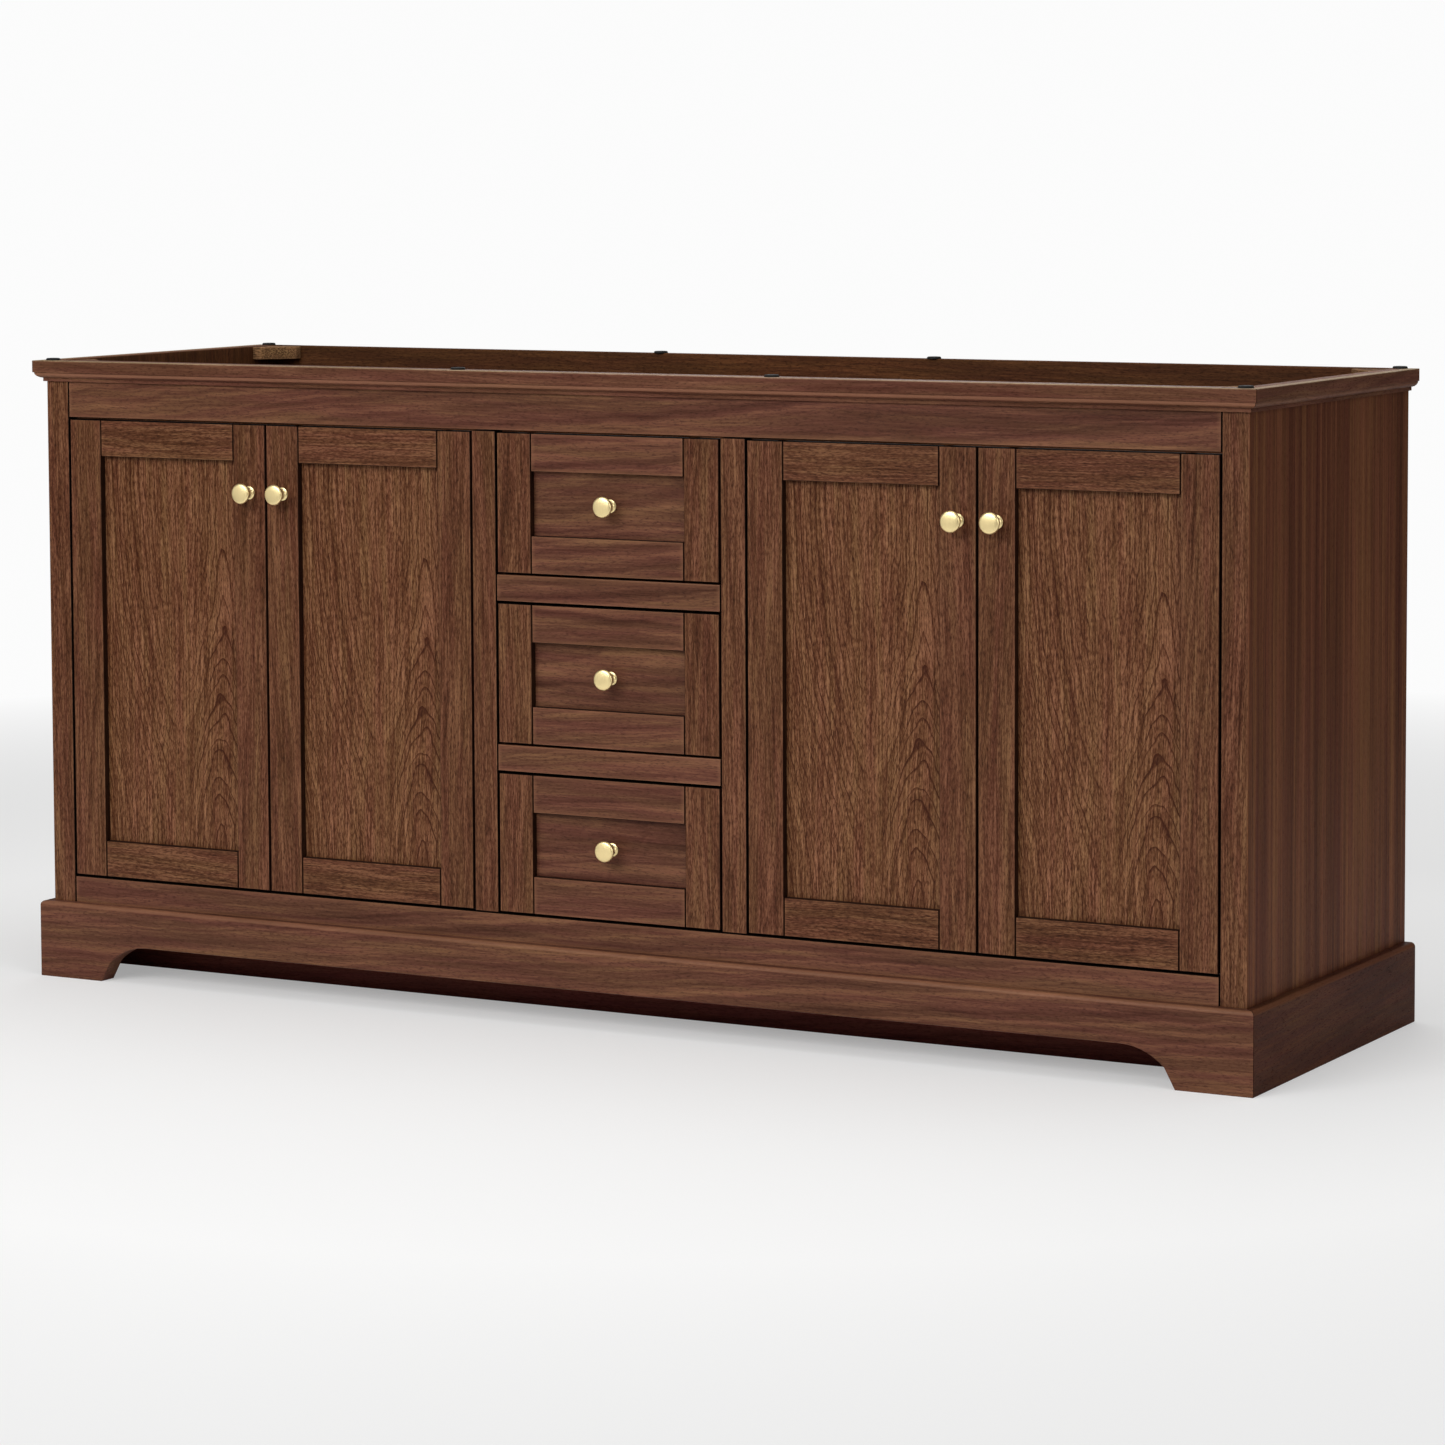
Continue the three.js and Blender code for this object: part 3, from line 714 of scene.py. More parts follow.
def face_frame():
    gap = HAIRLINE
    # Faces in the openings and at the joints get near-black painted shade; the stiles' outer faces get the
    # side veneer.
    for side, inward, outward in (("left", "+X", "-X"), ("right", "-X", "+X")):
        same_board(
            f"{side}_stile", "walnut", WALNUT, "ZX", stained=(inward,), outer=(outward,), third=SIDE_VENEER
        )
        same_board(f"{side}_mid_stile", "walnut", WALNUT, "ZX", (0, 0, gap), stained=("-X", "+X", "-Z", "+Z"))
    for rail in ("top_rail", "upper_drawer_rail", "lower_drawer_rail", "bottom_rail"):
        opening = "+Z" if rail == "bottom_rail" else "-Z"
        same_board(rail, "walnut", CALM, "XZ", (gap, 0, 0), stained=("-X", "+X", opening))


# ---- mouldings ----


def sweep(node, profile, looks, highlight_at, start, end, out, mitred, grain, highlight_share):
    """A moulding from start to end, in the place of a CAD node.

    Its profile is (projection, height) points, and a mitred end reaches further out the more
    the profile projects. looks are those of its length, its top and its cut ends: the top's is a
    painted highlight and the cut ends' is painted shade. highlight_at gives a point's painted
    highlight, and highlight_share is the share of it that this side gets.
    """
    along, out = (end - start).normalized(), Vector(out)
    bm = bmesh.new()
    wear_and_highlight = bm.verts.layers.float.new("edge")
    ends = []
    for place, step, is_mitred in ((start, -along, mitred[0]), (end, along, mitred[1])):
        ends.append([
            bm.verts.new(place + out * p + Vector((0, 0, z)) + step * (p * is_mitred - MITRE_GAP))
            for p, z in profile
        ])
    # The cut ends get near-black painted shade, so that each mitre shows as a dark line.
    for cut in ends:
        bm.faces.new(cut).material_index = 2
    for i in range(len(profile)):
        j = (i + 1) % len(profile)
        bm.faces.new((ends[0][i], ends[0][j], ends[1][j], ends[1][i]))
    bmesh.ops.recalc_face_normals(bm, faces=bm.faces[:])
    for end_verts in ends:
        for v, point in zip(end_verts, profile):
            v[wear_and_highlight] = highlight_share * highlight_at(*point)
    # The crown's top face gets the pale painted highlight.
    for f in bm.faces:
        if all(abs(v.co.z - TOP) < CROWN_ROUND for v in f.verts):
            f.material_index = 1
    finish_piece(f"{node}_moulding", bm, BODY, looks, grain, None, (node,))


def rounding(first, corner, last, steps=3):
    """A curve from first to last that bends round the corner between them."""
    return [
        tuple((1 - t) ** 2 * a + 2 * t * (1 - t) * b + t * t * c for a, b, c in zip(first, corner, last))
        for t in (k / steps for k in range(steps + 1))
    ]


def crown():
    """Upright band, ovolo, quirk and a small fillet, from the top down."""
    foot, band_foot = TOP - CROWN_H, TOP - CROWN_BAND_H
    ovolo_out, ovolo_foot = PROUD - CROWN_STEP, foot + CROWN_FILLET_H
    across, drop = ovolo_out - CROWN_QUIRK, band_foot - ovolo_foot
    quarter = arc((0, 0), 1, 0, math.pi / 2, OVOLO_STEPS)
    r = CROWN_ROUND
    outline = [
        (0, foot),
        *rounding((0, TOP - r), (0, TOP), (r, TOP)),
        *rounding((PROUD - r, TOP), (PROUD, TOP), (PROUD, TOP - r)),
        (PROUD, TOP - CROWN_RIM_LIT_REACH),
        *rounding((PROUD, band_foot + r), (PROUD, band_foot), (PROUD - r, band_foot)),
        *((CROWN_QUIRK + across * x, band_foot - drop * y) for x, y in quarter),
        (CROWN_FOOT, ovolo_foot),
        (CROWN_FOOT, ovolo_foot - CROWN_FILLET_HIGHLIT),
        (CROWN_FOOT, foot),
    ]

    # Painted highlights where light from above catches the crown: its upper edge, the top of its ovolo and
    # the upper edge of its fillet.
    def highlight_at(out, height):
        if OVOLO_HIGHLIT[0] < band_foot - height < OVOLO_HIGHLIT[1]:
            return 1.0
        at_edge = height > TOP - 0.001 or (height == ovolo_foot and out == CROWN_FOOT)
        return CROWN_RIM_HIGHLIGHT if at_edge else 0.0

    around("crown", outline, CROWN_WALNUT, highlight_at, CROWN_SIDE_HIGHLIGHT, True)


def around(kind, profile, look, highlight_at, side_highlight, in_front):
    """A moulding along both sides and perhaps the front, with mitred ends where they meet."""
    front_left, front_right = Vector((-HALF, FACE, 0)), Vector((HALF, FACE, 0))
    back_left, back_right = Vector((-HALF, BACK, 0)), Vector((HALF, BACK, 0))
    made = (profile, [look, TOP_FACE_HIGHLIGHT, GAP_SHADE], highlight_at)
    sweep(f"left_{kind}", *made, back_left, front_left, (-1, 0, 0), (0, 1), "YZ", side_highlight)
    sweep(f"right_{kind}", *made, front_right, back_right, (1, 0, 0), (1, 0), "YZ", side_highlight)
    if in_front:
        sweep(f"front_{kind}", *made, front_left, front_right, (0, -1, 0), (1, 1), "XZ", 1.0)


def plinth():
    shoulder = arc((PROUD - PLINTH_ROUND, PLINTH_H - PLINTH_ROUND), PLINTH_ROUND, 0, math.pi / 2, 6)
    foot = [(0, 0), (PROUD - PLINTH_ARRIS, 0), (PROUD, PLINTH_ARRIS), (PROUD, PLINTH_FADE)]

    # A painted highlight along the top of the rounding, where light from above catches it.
    def highlight_at(out, height):
        return 1.0 if PLINTH_HIGHLIT < height < PLINTH_H - FLUSH else 0.0

    around("plinth", [*foot, *shoulder, (0, PLINTH_H)], SIDE_WALNUT_SHADED, highlight_at, 1.0, False)
    front_plinth()


def front_plinth():
    """The front board, with the arch between its feet and mitred ends."""
    turn = arc((ARCH_FLAT, ARCH_H - ARCH_R), ARCH_R, math.pi / 2, math.pi / 2 - ARCH_TURN, ARCH_STEPS)
    arch = [*turn, (FOOT_INNER, 0.0)]
    inside = [(-x, z) for x, z in reversed(arch)] + arch
    front = FACE - PROUD
    layers = []
    bm = bmesh.new()
    for y, reach in ((front, HALF + PROUD), (FACE, HALF), (front + PLINTH_FRONT_T, HALF)):
        end = reach - MITRE_GAP
        outline = [(end, 0), (end, PLINTH_H), (-end, PLINTH_H), (-end, 0)] + inside
        layers.append([bm.verts.new((x, y, z)) for x, z in outline])
    bm.faces.new(layers[0])
    bm.faces.new(layers[2])
    for near, far in zip(layers, layers[1:]):
        for i in range(len(near)):
            j = (i + 1) % len(near)
            bm.faces.new((near[i], near[j], far[j], far[i]))
    bmesh.ops.recalc_face_normals(bm, faces=bm.faces[:])

    def round_off(radius, segments, wanted):
        """Rounds the edges of the front face whose ends are both wanted."""
        edges = [e for e in bm.edges if all(abs(v.co.y - front) < 1e-6 and wanted(v.co) for v in e.verts)]
        bevel(bm, edges, radius, segments)

    round_off(PLINTH_ROUND, 6, lambda place: abs(place.z - PLINTH_H) < 1e-6)
    round_off(ARCH_ARRIS, 2, lambda place: place.z < ARCH_H + 0.001 and abs(place.x) < HALF)
    everything = bm.verts[:] + bm.edges[:] + bm.faces[:]
    bmesh.ops.bisect_plane(bm, geom=everything, plane_co=(0, 0, PLINTH_FADE), plane_no=(0, 0, 1))
    # A painted highlight along the top of the rounding, where light from above catches it.
    wear_and_highlight = bm.verts.layers.float.new("edge")
    for v in bm.verts:
        v[wear_and_highlight] = PLINTH_FRONT_HIGHLIGHT if PLINTH_HIGHLIT < v.co.z < PLINTH_H - FLUSH else 0.0
    # The mitred ends get near-black painted shade, so that each mitre shows as a dark line.
    for f in bm.faces:
        if all(abs(v.co.x) > HALF - 0.001 for v in f.verts) and abs(f.normal.x) > 0.5:
            f.material_index = 1
    finish_piece("front_plinth_board", bm, BODY, [CALM, GAP_SHADE], "XZ", None, ("front_plinth",))


# ---- small parts of the carcass ----


def corner_blocks():
    """Five-sided sawn blocks that brace the top corners and take the countertop's screws."""
    for depth, towards in (("front", 1), ("back", -1)):
        for side, sign in SIDES:
            node = f"{depth}_{side}_corner_block"
            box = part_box(node)
            outer_x, inner_x = box[sign > 0].x, box[sign < 0].x
            outer_y, inner_y = box[towards < 0].y, box[towards > 0].y
            outline = [
                (outer_x, outer_y),
                (inner_x, outer_y),
                (inner_x, outer_y + towards * BLOCK_END),
                (outer_x - sign * BLOCK_END, inner_y),
                (outer_x, inner_y),
            ]
            bm = prism(outline, "Z", box[0].z, box[1].z)
            soften(bm, sharp_edges(bm, math.radians(20)), BLOCK_ARRIS)
            finish_piece(node + "_sawn", bm, BODY, SAWN, "XY", None, (node,))


def bumpers():
    """Soft round pads that the countertop rests on: the corner ones and four between them."""
    places = []
    for depth in ("front", "back"):
        for side, _ in SIDES:
            node = f"{depth}_{side}_bumper"
            low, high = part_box(node)
            places.append((f"{depth}_{side}", (low.x + high.x) / 2, (low.y + high.y) / 2, (node,)))
    front_y, back_y = places[0][2], places[2][2]
    for i, name in enumerate(("mid_left", "mid_right")):
        places.append((f"front_{name}", BUMPER_MID_FRONT[i], front_y, ()))
        places.append((f"back_{name}", BUMPER_MID_BACK[i], back_y, ()))
    radius, base, top = (high.x - low.x) / 2, low.z, high.z
    profile = [
        (radius - 0.0003, base), (radius, base + 0.0004), (radius - 0.0004, top - 0.0009),
        (radius - 0.0014, top - 0.0001), (radius - 0.0028, top), (radius * 0.45, top - 0.0002),
        (0.0012, top - 0.0003),
    ]
    for name, x, y, nodes in places:
        bm = lathe(profile, Matrix.Translation((x, y, 0)), 40)
        finish_piece(f"{name}_pad", bm, BODY, RUBBER, stands_for=nodes)


# ---- framed sheets: doors and drawer fronts ----


def groove_bed(edge, inner):
    """How far in from a board's inner edge the bottom of its groove lies."""
    return inner + math.copysign(GROOVE_DEPTH, edge - inner)


def grooved(edge, inner, depths, groove):
    """Outline across a stile or rail, from its outer edge in to the groove in its inner one."""
    bed = groove_bed(edge, inner)
    slot = [(inner, groove[0]), (bed, groove[0]), (bed, groove[1]), (inner, groove[1])]
    return [(edge, depths[0]), (inner, depths[0]), *slot, (inner, depths[1]), (edge, depths[1])]


def framed_sheet(name, looks, panel_grain, pith, seed, nodes, cups=()):
    """Two full-height stiles, two rails between them and a flat panel held in their grooves.

    name is also the body's. looks are those of the stiles, the rails and the panel, and nodes
    the CAD's frame and panel. cups are the (x, z) middles of the hinge cups, which one of the
    stiles is bored for.
    """
    low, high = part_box(nodes[0])
    panel_low, panel_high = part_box(nodes[1])
    depths = low.y, high.y
    groove = panel_low.y - GROOVE_PLAY, panel_high.y + GROOVE_PLAY
    inner_ends = low.x + SHEET_STILE, high.x - SHEET_STILE

    def cut(outline, axis, start, end, black):
        bm = prism(outline, axis, start, end)
        soften(bm, outer_edges(bm))
        # Every edge gets walnut darkened as painted shade in the gaps and beside the panel's recess; the
        # sides named in black get the near-black painted gap shade.
        stain(bm, ("-X", "+X", "-Z", "+Z"))
        stain(bm, black, 2)
        return bm

    def finish(part, bm, look, grain):
        materials = [look, DOOR_EDGE_SHADED, GAP_SHADE]
        finish_piece(f"{name}_{part}", bm, name, materials, grain, None, nodes[:1])

    for side, edge, inner in (("left", low.x, inner_ends[0]), ("right", high.x, inner_ends[1])):
        bm = cut(grooved(edge, inner, depths, groove), "Z", low.z, high.z, ("+Z",))
        here = [cup for cup in cups if min(edge, inner) < cup[0] < max(edge, inner)]
        if here:
            bore(bm, here)
        finish(f"{side}_stile", bm, looks[0], "ZX")
    for side, edge, inner, black in (
        ("bottom", low.z, low.z + SHEET_RAIL, ()),
        ("top", high.z, high.z - SHEET_RAIL, ("+Z",)),
    ):
        outline = [(y, z) for z, y in grooved(edge, inner, depths, groove)]
        bm = cut(outline, "X", inner_ends[0] + HAIRLINE, inner_ends[1] - HAIRLINE, black)
        for end in inner_ends:
            tenon(bm, end, depths, sorted((edge, groove_bed(edge, inner))))
        finish(f"{side}_rail", bm, looks[1], "XZ")
    board(
        f"{name}_sheet", name, "walnut", looks[2], panel_low, panel_high, panel_grain,
        nodes[1:], SHEET_ARRIS, pith, seed,
    )


def tenon(bm, end, depths, heights):
    """The tenon at the bottom of the joint between a rail's end and its stile, darkened as painted shade in
    the joint.
    """
    part = cuboid(
        (end - TENON_REACH, depths[0] + TENON_SUNK, heights[0] + TENON_SUNK),
        (end + TENON_REACH, depths[1] - TENON_SUNK, heights[1] - TENON_SUNK),
    )
    for f in part.faces:
        f.material_index = 1
    join(bm, part)


def bore(bm, middles):
    """Sinks flat-bottomed holes for hinge cups into the rear face of a stile."""
    rear = max((f for f in bm.faces if f.normal.y > 0.99), key=lambda f: f.calc_area())
    back = rear.calc_center_median().y
    borders = list(rear.edges)
    bm.faces.remove(rear)
    for x, z in middles:
        rims = []
        for y in (back, back - CUP_DEPTH):
            circle = arc((x, z), CUP_R, 0, 2 * math.pi, CUP_STEPS)[:-1]
            rims.append([bm.verts.new((cx, y, cz)) for cx, cz in circle])
        bm.faces.new(rims[1])
        for i in range(CUP_STEPS):
            j = (i + 1) % CUP_STEPS
            bm.faces.new((rims[0][i], rims[0][j], rims[1][j], rims[1][i]))
            borders.append(bm.edges.get((rims[0][i], rims[0][j])))
    bmesh.ops.triangle_fill(bm, edges=borders, use_beauty=True)
    bmesh.ops.recalc_face_normals(bm, faces=bm.faces[:])


def knob(node, body, behind):
    """A stepped rosette, a narrow waisted stem and a round head with a soft, nearly flat face.

    The head of the machine screw that holds it is on the surface behind it.
    """
    low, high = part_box(node)
    reach, radius = high.y - low.y, (high.x - low.x) / 2
    axis = Vector(((low.x + high.x) / 2, high.y, (low.z + high.z) / 2))
    rosette = [
        (0.0082, 0), (0.0090, 0.0004), (0.0090, 0.0014), (0.0086, 0.0018), (0.0074, 0.0020),
        (0.0070, 0.0024), (0.0066, 0.0030),
    ]
    stem = curve_points([
        (0.0062, 0.0034), (0.0049, 0.0065), (0.0044, 0.0100), (0.0048, 0.0140), (0.0078, 0.0176),
        (radius - 0.0016, 0.0192),
    ])
    rim = [
        (radius - 0.0006, 0.0196), (radius - 0.0001, 0.0203), (radius, 0.0212), (radius - 0.0002, 0.0222),
        (radius - 0.0008, 0.0229),
    ]
    head = [(radius * k / 10, reach - 0.0018 * (k / 10) ** 2.4) for k in range(9, 0, -1)]
    head.append((radius * 0.02, reach))
    bm = lathe([*rosette, *stem, *rim, *head], facing(axis, (0, -1, 0)), 64)
    POLISHED.objects.link(finish_piece(f"{node}_turned", bm, body, GOLD, stands_for=(node,)))
    screw = screw_head(bmesh.new(), (axis.x, behind, axis.z), (0, 1, 0), KNOB_SCREW_R)
    finish_piece(f"{node}_screw", screw, body, ZINC)


def screw_head(bm, point, direction, radius):
    """Adds a pan head with a cross recess, standing on a surface and facing a direction."""
    turn = facing(point, direction)
    height = radius * 0.42
    profile = [(1, 0), (1, 0.35), (0.86, 0.78), (0.55, 1), (0.5, 1), (0.16, 0.45)]
    lathe([(r * radius, place * height) for r, place in profile], turn, 20, bm)
    for a, b in ((0.62, 0.09), (0.09, 0.62)):
        part = cuboid((-a * radius, -b * radius, 0.6 * height), (a * radius, b * radius, 1.02 * height))
        part.transform(turn)
        join(bm, part)
    return bm


# ---- doors ----


def doors():
    for number in (1, 2, 3, 4):
        name = f"door_{number}"
        nodes = (f"{name}_frame", f"{name}_panel")
        low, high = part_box(nodes[1])
        middle = (low + high) / 2
        pith = (Vector((middle.x + 0.080, middle.y, low.z)), 0.022, 0.0)
        middles = cup_middles(name)
        framed_sheet(name, (WALNUT, WALNUT, VENEER), "ZX", pith, "door sheets", nodes, middles)
        knob(f"{name}_knob", name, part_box(nodes[0])[1].y)
        for level, middle in zip(("lower", "upper"), middles):
            hinge(f"{name}_{level}_hinge", name, middle)


# ---- drawers ----


def drawers():
    for number in (1, 2, 3):
        name = f"drawer_{number}"
        nodes = (f"{name}_front", f"{name}_panel")
        low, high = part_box(nodes[1])
        middle = (low + high) / 2
        pith = (Vector((low.x, middle.y, middle.z + 0.035)), 0.045 + 0.002 * number, 11.3 + number)
        framed_sheet(name, (WALNUT, CALM, CALM), "XZ", pith, name, nodes)
        knob(f"{name}_knob", name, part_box(f"{name}_box")[0].y + BOX_T)
        drawer_box(name)
        slides(name)


def dovetails(low_z, high_z):
    """The (z, z) of each tail's narrow root, evenly spaced up a box side."""
    pitch = (high_z - low_z) / TAIL_COUNT
    return [(low_z + pitch * (i + 0.22), low_z + pitch * (i + 0.78)) for i in range(TAIL_COUNT)]


def tail_ends(tails, inner_y, outer_y):
    """The outline of a box side's tails at one of its ends, from the lowest up."""
    points = []
    for z0, z1 in tails:
        points += [(inner_y, z0), (outer_y, z0 - TAIL_SLOPE), (outer_y, z1 + TAIL_SLOPE), (inner_y, z1)]
    return points


def drawer_box(name):
    """Four dovetailed boards and a thin bottom let into them."""
    node = f"{name}_box"
    low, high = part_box(node)
    tails = dovetails(low.z, high.z)
    inner_front, inner_back = low.y + BOX_T, high.y - BOX_T
    outline = [
        (inner_front, low.z), *tail_ends(tails, inner_front, low.y), (inner_front, high.z),
        (inner_back, high.z), *reversed(tail_ends(tails, inner_back, high.y)), (inner_back, low.z),
    ]
    for side, outer in (("left", low.x), ("right", high.x)):
        bm = prism(outline, "X", *sorted((outer, outer + math.copysign(BOX_T, -outer))))
        long_edges = [e for e in sharp_edges(bm) if e.calc_length() > 0.2]
        soften(bm, [e for e in long_edges if abs(e.verts[0].co.z - e.verts[1].co.z) < 1e-6], 0.0006)
        finish_piece(f"{name}_box_{side}", bm, name, BIRCH, "YZ", None, (node,))
    left, right = low.x + BOX_T + PIN_GAP, high.x - BOX_T - PIN_GAP
    for end, outer_y, inner_y in (("front", low.y, inner_front), ("back", high.y, inner_back)):
        near, far = sorted((outer_y, inner_y))
        bm = cuboid((left, near, low.z), (right, far, high.z))
        for x0, x1 in ((low.x, left), (right, high.x)):
            for outer_pair, inner_pair in pins(tails, low.z, high.z):
                pin_outline = [
                    (outer_y, outer_pair[0] + PIN_GAP), (inner_y, inner_pair[0] + PIN_GAP),
                    (inner_y, inner_pair[1] - PIN_GAP), (outer_y, outer_pair[1] - PIN_GAP),
                ]
                prism(pin_outline, "X", x0, x1, bm)
        finish_piece(f"{name}_box_{end}", bm, name, BIRCH, "XZ", None, (node,))
    base, inset = low.z + BOX_BOTTOM_RAISE, BOX_T - BOX_LET_IN
    board(
        f"{name}_box_bottom", name, "drawer_wood", BIRCH,
        Vector((low.x + inset, low.y + inset, base)),
        Vector((high.x - inset, high.y - inset, base + BOX_BOTTOM_T)),
        "YX", (node,), 0.0003,
    )


def pins(tails, low_z, high_z):
    """What the tails leave between them: each pin's (z, z) at the outer face and at the inner."""
    outer_ends = [low_z, *(z for z0, z1 in tails for z in (z0 - TAIL_SLOPE, z1 + TAIL_SLOPE)), high_z]
    inner_ends = [low_z, *(z for z0, z1 in tails for z in (z0, z1)), high_z]
    return [
        ((outer_ends[i], outer_ends[i + 1]), (inner_ends[i], inner_ends[i + 1]))
        for i in range(0, len(outer_ends), 2)
    ]


def channel(web_x, open_x, low_z, high_z, lip):
    """Outline across Y of a steel channel with its web at web_x, open towards open_x."""
    t = math.copysign(SLIDE_T, open_x - web_x)
    lower = [
        (web_x, low_z), (open_x, low_z), (open_x, low_z + lip), (open_x - t, low_z + lip),
        (open_x - t, low_z + SLIDE_T), (web_x + t, low_z + SLIDE_T),
    ]
    return lower + [(x, low_z + high_z - z) for x, z in reversed(lower)]


def halfway(piece):
    """Bakes a piece's transform into its mesh."""
    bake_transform(piece)


def slides(name):
    """Full-extension ball-bearing slides: cabinet, middle and drawer member on each side."""
    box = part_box(f"{name}_box")
    for side, sign in SIDES:
        node = f"{name}_{side}_slide"
        rail = low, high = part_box(node)
        web, lips, drawer_face = rail[sign > 0].x, rail[sign < 0].x, box[sign > 0].x
        middle = Vector((web, (low.y + high.y) / 2, (low.z + high.z) / 2))

        def member(part, rider, web_x, open_x, shrink, lip, span, screws=(), nodes=()):
            """One channel. screws are (direction, what they are spaced along, shares, radius)."""
            bm = prism(channel(web_x, open_x, low.z + shrink, high.z - shrink, lip), "Y", *span)
            for towards, (start, end), shares, radius in screws:
                for share in shares:
                    y = start.y + (end.y - start.y) * share
                    screw_head(bm, (web_x + towards * SLIDE_T, y, middle.z), (towards, 0, 0), radius)
            piece_name = f"{name}_{side}_slide_{part}"
            return finish_piece(piece_name, bm, rider, ZINC, stands_for=nodes)

        screws = [(-sign, rail, (0.08, 0.5, 0.92), 0.0034)]
        member("outer", BODY, web, lips, 0.0, SLIDE_LIP, (low.y, high.y), screws, (node,))
        span = (low.y + 0.002, high.y - 0.002)
        piece = member("middle", None, web - sign * 0.0052, lips - sign * 0.0004, MIDDLE_SHRINK, 0.0035, span)
        halfway(piece)
        screws = [(sign, box, (0.12, 0.82), 0.0030)]
        span = (box[0].y + 0.004, box[1].y)
        member("inner", name, drawer_face, lips - sign * 0.0016, INNER_SHRINK, 0.002, span, screws)


# ---- hinges ----


def hinge_side(body):
    """Which side a door turns about, as (its edge there, the way in from it along X)."""
    low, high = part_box(f"{body}_frame")
    return (low.x, 1) if body in ("door_1", "door_3") else (high.x, -1)


def cup_middles(body):
    """The (x, z) middles of a door's two hinge cups, the lower one first."""
    low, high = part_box(f"{body}_frame")
    edge, inward = hinge_side(body)
    return [(edge + inward * CUP_INSET, z) for z in (low.z + HINGE_FROM_END, high.z - HINGE_FROM_END)]


def hinge(name, body, middle):
    """A concealed hinge: packing block, plate and arm on the cabinet, and a cup in the door.

    Its links are three nested leaves that curl round the door's axis. The outer leaf stays with
    the arm, the inner one goes with the cup, and the one between them is attached to neither.
    """
    edge, inward = hinge_side(body)
    z = middle[1]
    axis = Vector((edge - inward * HINGE_AXIS_OUT, FACE, z))
    stile, wall = (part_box(node) for node in HINGE_BOARDS[body])
    opening_x, wall_x, block_front = stile[inward > 0].x, wall[inward > 0].x, stile[1].y
    left, right = sorted((opening_x, wall_x))
    board(
        f"{name}_block", BODY, "interior", INTERIOR,
        Vector((left, block_front, z - HINGE_BLOCK_H / 2)),
        Vector((right, block_front + HINGE_BLOCK_T, z + HINGE_BLOCK_H / 2)),
        "ZY",
    )
    hinge_arm(name, opening_x, inward, z)
    hinge_cup(name, body, middle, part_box(f"{body}_frame")[1].y)
    leaves = (
        ("outer", BODY, 0.0284, 0.0070),
        ("middle", None, 0.0270, 0.0055),
        ("inner", body, 0.0256, 0.0070),
    )
    for leaf, rider, radius, half_width in leaves:
        outside = arc((0, 0), radius, *LEAF_SPAN, LEAF_STEPS)
        inside = arc((0, 0), radius - LEAF_T, *LEAF_SPAN[::-1], LEAF_STEPS)
        outline = [(axis.x + inward * x, FACE + y) for x, y in outside + inside]
        bm = prism(outline, "Z", z - half_width, z + half_width)
        bevel(bm, sharp_edges(bm), 0.0002, 1)
        for share in (0.06, 0.94):
            angle = LEAF_SPAN[0] + (LEAF_SPAN[1] - LEAF_SPAN[0]) * share
            across = Vector((inward * math.cos(angle), math.sin(angle), 0))
            pin(bm, axis + across * (radius - LEAF_T / 2), half_width + 0.0009)
        piece = finish_piece(f"{name}_{leaf}_leaf", bm, rider, NICKEL)
        if not rider:
            halfway(piece)


def pin(bm, middle, half_length):
    """A rivet along Z with a domed head at each end."""
    profile = [(0.0003, -half_length), (0.0008, -half_length + 0.0002), (0.0010, -half_length + 0.0005)]
    profile += [(r, -place) for r, place in reversed(profile)]
    lathe(profile, Matrix.Translation(middle), 16, bm)


def hinge_arm(name, face_x, inward, z):
    """The mounting plate screwed to the packing block, and the arm that clips over it."""
    bm = bmesh.new()
    for across, ends, half_height, radius in (
        ((0.0, 0.0020), (0.040, 0.074), 0.0090, 0.0008),
        ((0.0, 0.0020), (0.050, 0.062), 0.0270, 0.0009),
        ((0.0020, 0.0048), (0.042, 0.072), 0.0060, 0.0009),
        ((0.0032, 0.0105), (0.0275, 0.073), 0.0078, 0.0016),
    ):
        x0, x1 = sorted(face_x + inward * x for x in across)
        part = cuboid((x0, FACE + ends[0], z - half_height), (x1, FACE + ends[1], z + half_height))
        bevel(part, part.edges[:], radius, 3)
        join(bm, part)
    for out, back, up, radius in (
        (0.0020, 0.056, -0.0195, 0.0042),
        (0.0020, 0.056, 0.0195, 0.0042),
        (0.0105, 0.041, 0.0, 0.0030),
        (0.0105, 0.061, 0.0, 0.0036),
    ):
        screw_head(bm, (face_x + inward * out, FACE + back, z + up), (inward, 0, 0), radius)
    finish_piece(f"{name}_arm", bm, BODY, NICKEL)


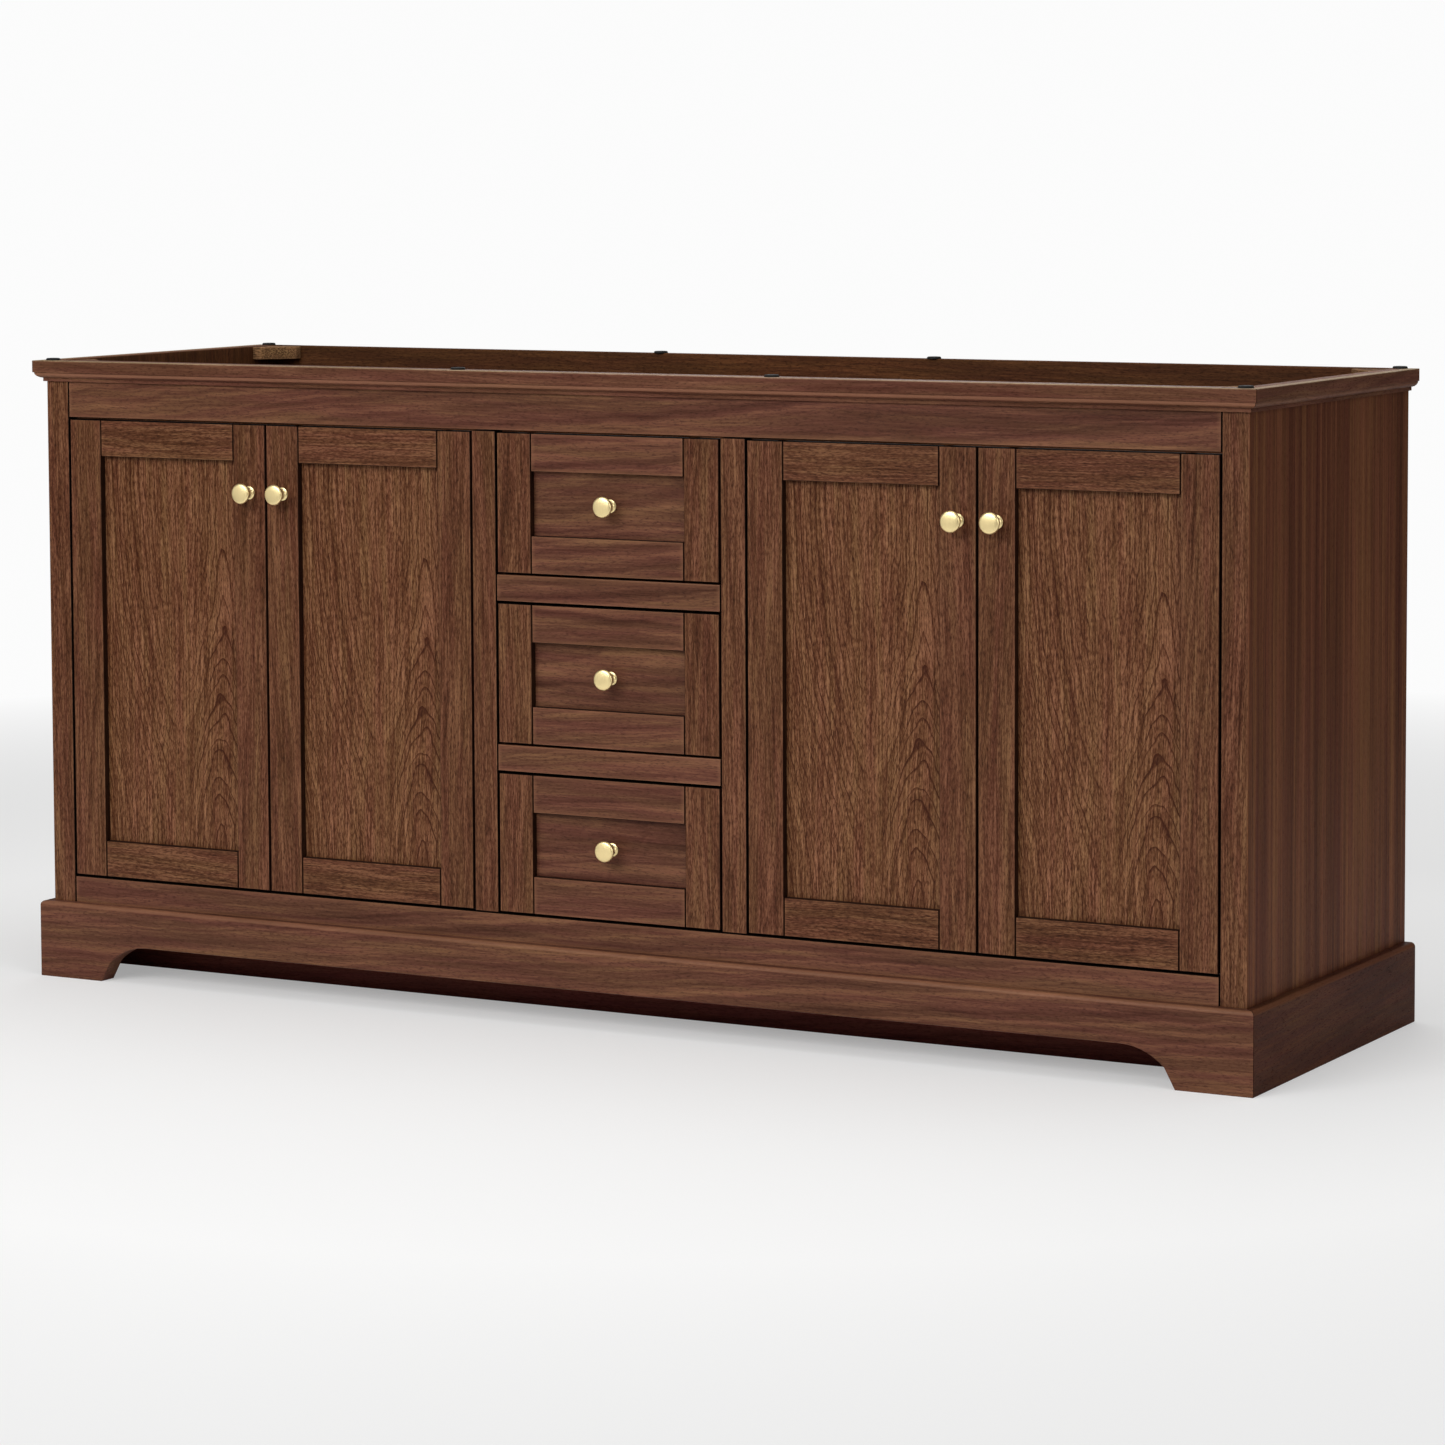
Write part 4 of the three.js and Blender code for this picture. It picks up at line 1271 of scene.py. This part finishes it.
def hinge_cup(name, body, middle, back):
    """A pressed cup with a rim on the door's back, two screwed ears and a pivot pin inside."""
    x, z = middle
    floor = CUP_DEPTH - 0.0001
    outer, inner = CUP_R - 0.0001, CUP_R - 0.0009
    profile = [
        (0.0005, floor - 0.0008), (inner - 0.0022, floor - 0.0008), (inner - 0.0006, floor - 0.0014),
        (inner, floor - 0.0030), (inner, -0.0006), (inner + 0.0004, -0.0010), (outer + 0.0014, -0.0010),
        (outer + 0.0018, -0.0006), (outer + 0.0018, 0), (outer, 0), (outer, floor - 0.0024),
        (outer - 0.0022, floor), (0.0005, floor),
    ]
    bm = lathe(profile, facing((x, back, z), (0, -1, 0)), CUP_STEPS)
    for side in (-1, 1):
        ear_z, root = z + side * CUP_EAR, side * z + 0.0160
        ear = [*arc((x, side * ear_z), 0.0058, 0, math.pi, 10), (x - 0.0075, root), (x + 0.0075, root)]
        part = prism([(ex, side * ez) for ex, ez in ear], "Y", back, back + 0.0010)
        bevel(part, sharp_edges(part), 0.0003, 2)
        join(bm, part)
        screw_head(bm, (x, back + 0.0010, ear_z), (0, 1, 0), 0.0036)
    pivot = Vector((x - hinge_side(body)[1] * 0.0024, back - 0.0055, z))
    profile = [(0.0003, -0.0150), (0.0016, -0.0150), (0.0016, 0.0150), (0.0003, 0.0150)]
    lathe(profile, Matrix.Translation(pivot), 20, bm)
    finish_piece(f"{name}_cup", bm, body, NICKEL)


def join(bm, part):
    """Adds one mesh to another and frees it."""
    mesh = bpy.data.meshes.new("part")
    part.to_mesh(mesh)
    part.free()
    bm.from_mesh(mesh)
    bpy.data.meshes.remove(mesh)


# ---- build ----

POLISHED = bpy.data.collections.new("polished")  # what the reflector cards light

carcass()
face_frame()
crown()
plinth()
corner_blocks()
bumpers()
doors()
drawers()

# ---- floor, light and camera ----


def stage():
    """A pale floor that fades into the white backdrop, and is dull where it would be mirrored."""
    size = 40.0
    near, far = 1.5, 3.8
    bm = bmesh.new()
    bmesh.ops.create_grid(bm, x_segments=8, y_segments=8, size=size / 2)
    mesh = bpy.data.meshes.new("floor")
    bm.to_mesh(mesh)
    bm.free()
    material, tree, shader = new_material("floor")
    place = add(tree, "ShaderNodeTexCoord").outputs["Object"]
    fade = remap(tree, vector_maths(tree, "LENGTH", place, (0.0, 0.0, 0.0)), near, far)
    paint = mix(tree, fade, (0.96, 0.96, 0.955, 1.0), (0.15, 0.15, 0.15, 1.0))
    tree.links.new(paint, shader.inputs["Base Color"])
    shader.inputs["Roughness"].default_value = 0.9
    # Seen by the camera the floor glows with the backdrop's white, fully far off and at least 35% beside the
    # cabinet, which is painted light that lifts the floor's shadows.
    seen = add(tree, "ShaderNodeLightPath").outputs["Is Camera Ray"]
    glow = add(tree, "ShaderNodeEmission", {"Color": BACKDROP, "Strength": 1.0})
    lifted = remap(tree, fade, 0.0, 1.0, 0.35, 1.0)
    blend = add(tree, "ShaderNodeMixShader", {0: maths(tree, "MULTIPLY", lifted, seen)})
    tree.links.new(shader.outputs[0], blend.inputs[1])
    tree.links.new(glow.outputs[0], blend.inputs[2])
    tree.links.new(blend.outputs[0], tree.nodes["Material Output"].inputs["Surface"])
    mesh.materials.append(material)
    floor = bpy.data.objects.new("floor", mesh)
    bpy.context.scene.collection.objects.link(floor)


def area_light(name, at, aim, size, power, only=None):
    data = bpy.data.lights.new(name, "AREA")
    data.shape = "RECTANGLE"
    data.size, data.size_y = size
    data.energy = power
    lamp = bpy.data.objects.new(name, data)
    lamp.location = at
    lamp.rotation_mode = "QUATERNION"
    lamp.rotation_quaternion = (Vector(aim) - Vector(at)).to_track_quat("-Z", "Y")
    bpy.context.scene.collection.objects.link(lamp)
    if only:
        lamp.light_linking.receiver_collection = only


def lights():
    """A pale studio: a soft dome that darkens towards the horizon, four soft boxes, and two
    reflector cards that light only the knobs."""
    world = bpy.data.worlds.new("studio")
    world.use_nodes = True
    tree = world.node_tree
    direction = add(tree, "ShaderNodeTexCoord").outputs["Generated"]
    height = add(tree, "ShaderNodeSeparateXYZ", {0: direction}).outputs[2]
    greys = ((0.0, 0.07), (0.35, 0.20), (1.0, 0.55))
    dome = ramp(tree, height, [(place, (grey, grey, grey)) for place, grey in greys])
    seen = add(tree, "ShaderNodeLightPath").outputs["Is Camera Ray"]
    backdrop = mix(tree, seen, dome, BACKDROP)
    tree.links.new(backdrop, tree.nodes["Background"].inputs["Color"])
    bpy.context.scene.world = world
    area_light("key", (-1.0, -5.0, 3.2), (0, 0, 0.4), (3.8, 2.2), 170)
    area_light("fill", (4.2, -2.6, 2.4), (0, 0, 0.4), (2.5, 2.5), 32)
    area_light("rear", (-1.5, 4.5, 2.6), (0, 0, 0.4), (3.0, 2.0), 30)
    area_light("top", (0.3, 0.2, 3.4), (0, 0, 0.8), (3.0, 2.0), 30)
    area_light("card", (-2.2, -3.0, 0.75), (0, 0, 0.7), (6.0, 2.6), 27, POLISHED)
    area_light("side_card", (3.0, -1.0, 0.8), (0, -0.3, 0.7), (2.2, 2.2), 14, POLISHED)


def camera():
    data = bpy.data.cameras.new("camera")
    data.lens, data.sensor_width, data.shift_y = LENS_MM, SENSOR_MM, SHIFT_Y
    eye = bpy.data.objects.new("camera", data)
    level = Euler((math.pi / 2 + CAMERA_PITCH, 0.0, -CAMERA_YAW)).to_matrix().to_4x4()
    eye.matrix_world = Matrix.Translation(CAMERA_AT) @ level @ Matrix.Rotation(CAMERA_ROLL, 4, "Z")
    bpy.context.scene.collection.objects.link(eye)
    bpy.context.scene.camera = eye


stage()
lights()
camera()
bpy.context.scene.view_settings.view_transform = "Standard"
